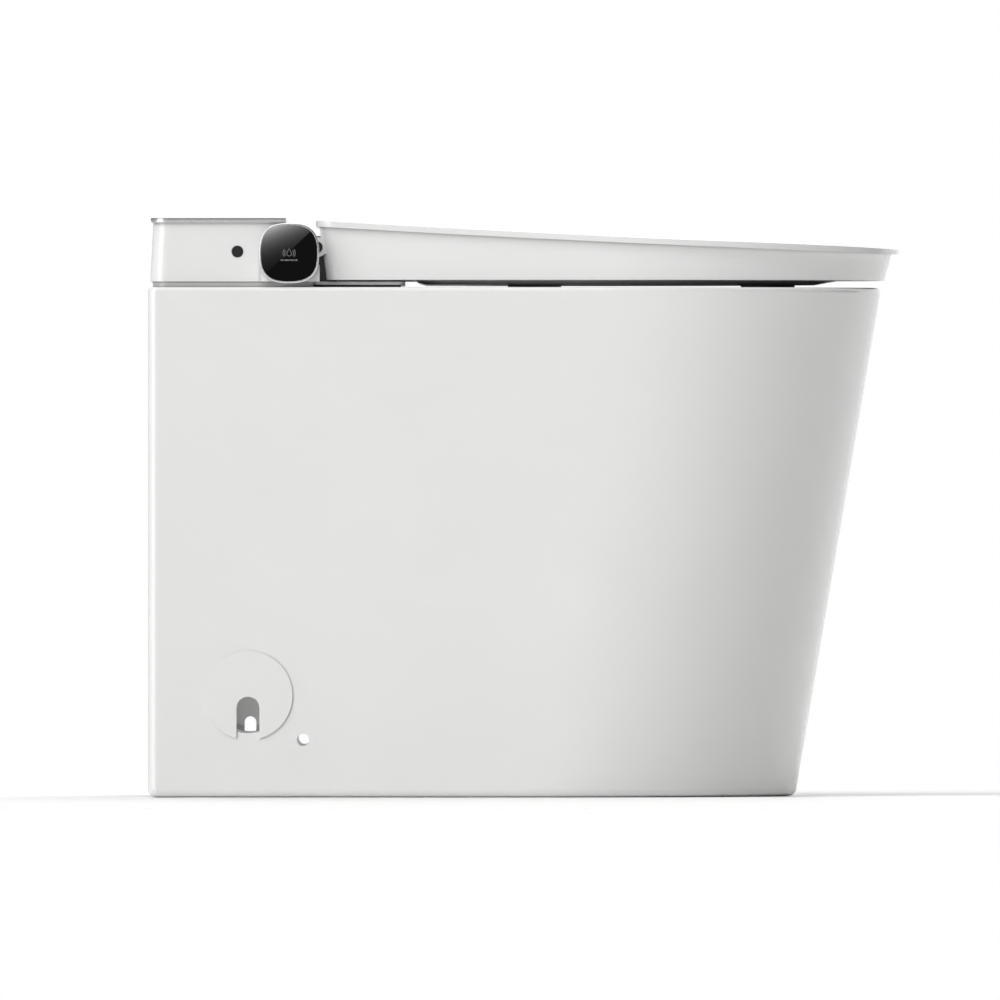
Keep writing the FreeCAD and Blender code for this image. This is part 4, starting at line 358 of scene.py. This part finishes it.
def trim_metal():
    """Pale satin metal with a painted dark reflection along its rounded upper edge: the colour is dimmed
    above a given height.
    """
    skin = metal_skin("trim_metal", (0.86, 0.86, 0.865), 0.3, (1, 12, 12))
    # painted reflection: the colour is dimmed along the upper edge, as if the metal mirrored something dark
    height = linear(skin, (0.0, 0.0, 1.0), -TRIM_PAINTED_DARK_EDGE)
    dark = node(skin, "ShaderNodeMapRange")
    dark.inputs["From Max"].default_value = TRIM_PAINTED_DARK_EDGE_WIDTH
    dark.inputs["To Min"].default_value = 1.0
    dark.inputs["To Max"].default_value = 0.42
    skin.links.new(height, dark.inputs["Value"])
    dim(skin, dark.outputs["Result"])
    return skin.material


def circuit_board():
    skin = new_material("board_resist", (0.012, 0.09, 0.035), roughness=0.28, coat=0.3)
    speckle(skin, 260, 0.25)
    uneven_gloss(skin, 180, 0.22, 0.4)
    relief(skin, 700, 0.00004, 2.0, edge=0.0002)
    return skin.material


def dark_glass(name, colour):
    """Black glass with a painted reflection: the pale sheen of a softbox, mixed into the colour, fading
    across its upper rear corner.
    """
    skin = new_material(name, colour, roughness=0.07, specular=0.06)
    uneven_gloss(skin, 500, 0.05, 0.09)
    relief(skin, 300, 0.000004, 2.0, edge=0.0004)
    # painted reflection: a pale softbox sheen mixed into the base colour
    rise = linear(skin, PAINTED_SHEEN_RISE, PAINTED_SHEEN_LEVEL)
    fade = node(skin, "ShaderNodeMath")
    fade.operation = "EXPONENT"
    skin.links.new(rise, fade.inputs[0])
    across = linear(skin, PAINTED_SHEEN_EDGE, PAINTED_SHEEN_EDGE_PLACE)
    edge = node(skin, "ShaderNodeMapRange")
    edge.inputs["From Max"].default_value = PAINTED_SHEEN_EDGE_WIDTH
    skin.links.new(across, edge.inputs["Value"])
    painted_sheen = node(skin, "ShaderNodeMath")
    painted_sheen.operation = "MULTIPLY"
    skin.links.new(fade.outputs["Value"], painted_sheen.inputs[0])
    skin.links.new(edge.outputs["Result"], painted_sheen.inputs[1])
    mix = skin.nodes.new("ShaderNodeMix")
    mix.data_type = "RGBA"
    mix.inputs["A"].default_value = (*colour, 1)
    mix.inputs["B"].default_value = (1, 1, 1, 1)
    skin.links.new(painted_sheen.outputs["Value"], mix.inputs["Factor"])
    skin.links.new(mix.outputs["Result"], skin.shader.inputs["Base Color"])
    return skin.material


def linear(skin, slope, level):
    """A value that grows evenly with the place on the object."""
    place = skin.nodes.new("ShaderNodeTexCoord")
    product = skin.nodes.new("ShaderNodeVectorMath")
    product.operation = "DOT_PRODUCT"
    product.inputs[1].default_value = slope
    skin.links.new(place.outputs["Object"], product.inputs[0])
    total = node(skin, "ShaderNodeMath")
    total.inputs[1].default_value = level
    skin.links.new(product.outputs["Value"], total.inputs[0])
    return total.outputs["Value"]


def paint_node(name, material):
    """Give one of the frame's nodes its finish."""
    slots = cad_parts[name].material_slots
    for place in slots:
        place.material = material
    if not slots:
        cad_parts[name].data.materials.append(material)


def paint_all():
    ceramic = glaze()
    white = white_plastic("housing_plastic", (0.77, 0.77, 0.765), 0.2)
    lid = white_plastic("lid_plastic", (0.79, 0.79, 0.785), 0.16)
    seat = white_plastic("seat_plastic", (0.77, 0.77, 0.765), 0.18)
    # the tray gets deeper painted shade in its crevices, for the shadow under the housing's overhang
    tray = white_plastic("tray_plastic", (0.74, 0.74, 0.735), 0.24, shade=0.7)
    under = white_plastic("under_plastic", (0.62, 0.62, 0.62), 0.42)
    unit = white_plastic("unit_plastic", (0.7, 0.7, 0.7), 0.3)
    inner = dark_plastic("inner_plastic", (0.33, 0.34, 0.35), 0.45)
    dark = dark_plastic("dark_plastic", (0.035, 0.035, 0.036))
    steel = metal("drawn_steel", (0.6, 0.6, 0.61), 0.3, (1, 14, 1))
    black_steel = metal("blackened_steel", (0.05, 0.05, 0.052), 0.4, (1, 14, 1))
    chrome = metal("satin_chrome", (0.82, 0.82, 0.83), 0.22, (1, 12, 12))
    brass = metal("nickel_brass", (0.72, 0.6, 0.36), 0.28, (1, 1, 10))
    rubber = soft_rubber("seal_rubber", (0.02, 0.02, 0.021))
    bumper = soft_rubber("bumper_rubber", (0.42, 0.42, 0.42))
    nozzle = white_plastic("nozzle_plastic", (0.72, 0.74, 0.75), 0.14)
    gear = white_plastic("gear_plastic", (0.75, 0.72, 0.64), 0.35)
    board = circuit_board()
    glass = dark_glass("knob_glass", (0.0052, 0.0052, 0.0054))
    button = dark_plastic("button_plastic", (0.018, 0.018, 0.018), 0.5, specular=0.25)
    finishes = {
        "ceramic_walls": ceramic, "ceramic_deck": ceramic,
        "ceramic_bowl": ceramic, "ceramic_trap": ceramic,
        "access_cover_right": white, "access_cover_left": white,
        "base_tray": tray, "rear_housing": white, "rear_top_cover": white,
        "cover_trim": trim_metal(), "knob_body": chrome,
        "unit_cover": unit, "seat_upper_shell": seat, "seat_lower_shell": under,
        "seat_heater": steel, "seat_bumpers": bumper, "lid_bumpers": bumper,
        "lid_plate": lid, "lid_skirt": lid, "knob_glass": glass,
        "drain_seal": rubber, "deck_gasket": rubber,
        "tray_bolts": steel, "tray_nuts": steel, "knob_spindle": steel,
        "knob_encoder": board, "control_board": board,
        "flush_button": button, "button_switch": dark,
        "nozzle_wand": nozzle, "nozzle_cap": steel, "nozzle_pinion": gear,
        "nozzle_motor": steel, "nozzle_guide": dark, "dryer_housing": inner,
        "dryer_fan": dark, "flush_tank": inner, "flush_pump": dark,
        "pump_impeller": inner, "jet_pipe": inner, "water_inlet": brass,
        "cable_gland": dark, "power_supply": steel, "water_heater": inner,
        "solenoid_valve": nozzle,
    }
    for side in ("right", "left"):
        finishes[f"ceramic_rim_{side}"] = ceramic
        finishes[f"housing_ear_{side}"] = white
        finishes[f"lid_lug_{side}"] = lid
        # painted shade: the hinge posts take the near-black plastic to stand in for the deep shade in the gap
        # behind the lid
        finishes[f"hinge_post_{side}"] = dark
        finishes[f"hinge_pin_{side}"] = black_steel
        finishes[f"hinge_damper_{side}"] = dark
    for name, material in finishes.items():
        paint_node(name, material)


# --- small pieces on the CAD ---------------------------------------------------------------------------

KNOB_CENTRE = (-0.212, 0.4894)
GLASS_FACE = -0.19735
INK_THICKNESS = 0.00006

# the pictogram's lines and dashes, in millimetres
LINE_WIDTH = 0.5
DROP_CENTRE, DROP_RADIUS, DROP_TIP = (0, -0.4), 2.1, 4.4
SPRAY_CENTRE, SPRAY_RADII, SPRAY_ANGLE = (0, 0.2), (4.0, 5.5), 38
DASHES = (1.8, 0.8, 2.4, 1.2, 1.8, 0.8, 2.0)
DASH_START, DASH_GAP, DASH_HEIGHT, DASH_LEVEL = -7.6, 0.7, 1.3, -6.2


def arc(centre, radius, start, end, steps=14):
    """Points on a circle between two angles in degrees."""
    points = []
    for step in range(steps + 1):
        angle = math.radians(start + (end - start) * step / steps)
        points.append((centre[0] + radius * math.cos(angle), centre[1] + radius * math.sin(angle)))
    return points


def stroke(shape, points, width, closed=False):
    """A flat line of a width through points, in millimetres on the knob's face."""
    count = len(points)
    pairs = []
    for index, point in enumerate(points):
        before = points[index - 1] if index or closed else point
        after = points[(index + 1) % count] if index < count - 1 or closed else point
        along = Vector((after[0] - before[0], after[1] - before[1])).normalized()
        out = Vector((-along.y, along.x)) * width / 2
        pairs.append([(point[0] + side * out.x, point[1] + side * out.y) for side in (1, -1)])
    layers = []
    for depth in (0, INK_THICKNESS):
        y = GLASS_FACE - depth
        layers.append([[shape.verts.new((KNOB_CENTRE[0] + u * MM, y, KNOB_CENTRE[1] + v * MM))
                        for u, v in pair] for pair in pairs])
    back, front = layers
    last = count if closed else count - 1
    for index in range(last):
        after = (index + 1) % count
        for near, far in ((0, 1), (1, 0)):
            shape.faces.new((front[index][near], front[after][near], back[after][near], back[index][near]))
        shape.faces.new((front[index][0], front[index][1], front[after][1], front[after][0]))
        shape.faces.new((back[index][0], back[after][0], back[after][1], back[index][1]))
    if not closed:
        for index in (0, count - 1):
            shape.faces.new((front[index][0], front[index][1], back[index][1], back[index][0]))


def make_pictogram(ink):
    """A water drop between two arcs of spray, with a row of dashes below, printed on the glass."""
    shape = bmesh.new()
    stroke(shape, [(0, DROP_TIP)] + arc(DROP_CENTRE, DROP_RADIUS, 25, -205), LINE_WIDTH, closed=True)
    for side in (1, -1):
        for radius in SPRAY_RADII:
            spray = arc(SPRAY_CENTRE, radius, -SPRAY_ANGLE, SPRAY_ANGLE)
            stroke(shape, [(side * u, v) for u, v in spray], LINE_WIDTH)
    place = DASH_START
    for length in DASHES:
        stroke(shape, [(place, DASH_LEVEL), (place + length, DASH_LEVEL)], DASH_HEIGHT)
        place += length + DASH_GAP
    bmesh.ops.recalc_face_normals(shape, faces=shape.faces)
    mesh = bpy.data.meshes.new("knob_pictogram")
    shape.to_mesh(mesh)
    shape.free()
    mesh.materials.append(ink)
    piece = bpy.data.objects.new("knob_pictogram", mesh)
    bpy.context.collection.objects.link(piece)
    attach(piece, "knob")


def printed_ink():
    skin = new_material("printed_ink", (0.2, 0.2, 0.2), roughness=0.5, specular=0.2)
    speckle(skin, 900, 0.15)
    uneven_gloss(skin, 800, 0.42, 0.6)
    relief(skin, 3000, 0.000004)
    return skin.material


make_camera()
make_floor()
make_sky()
paint_all()
make_pictogram(printed_ink())
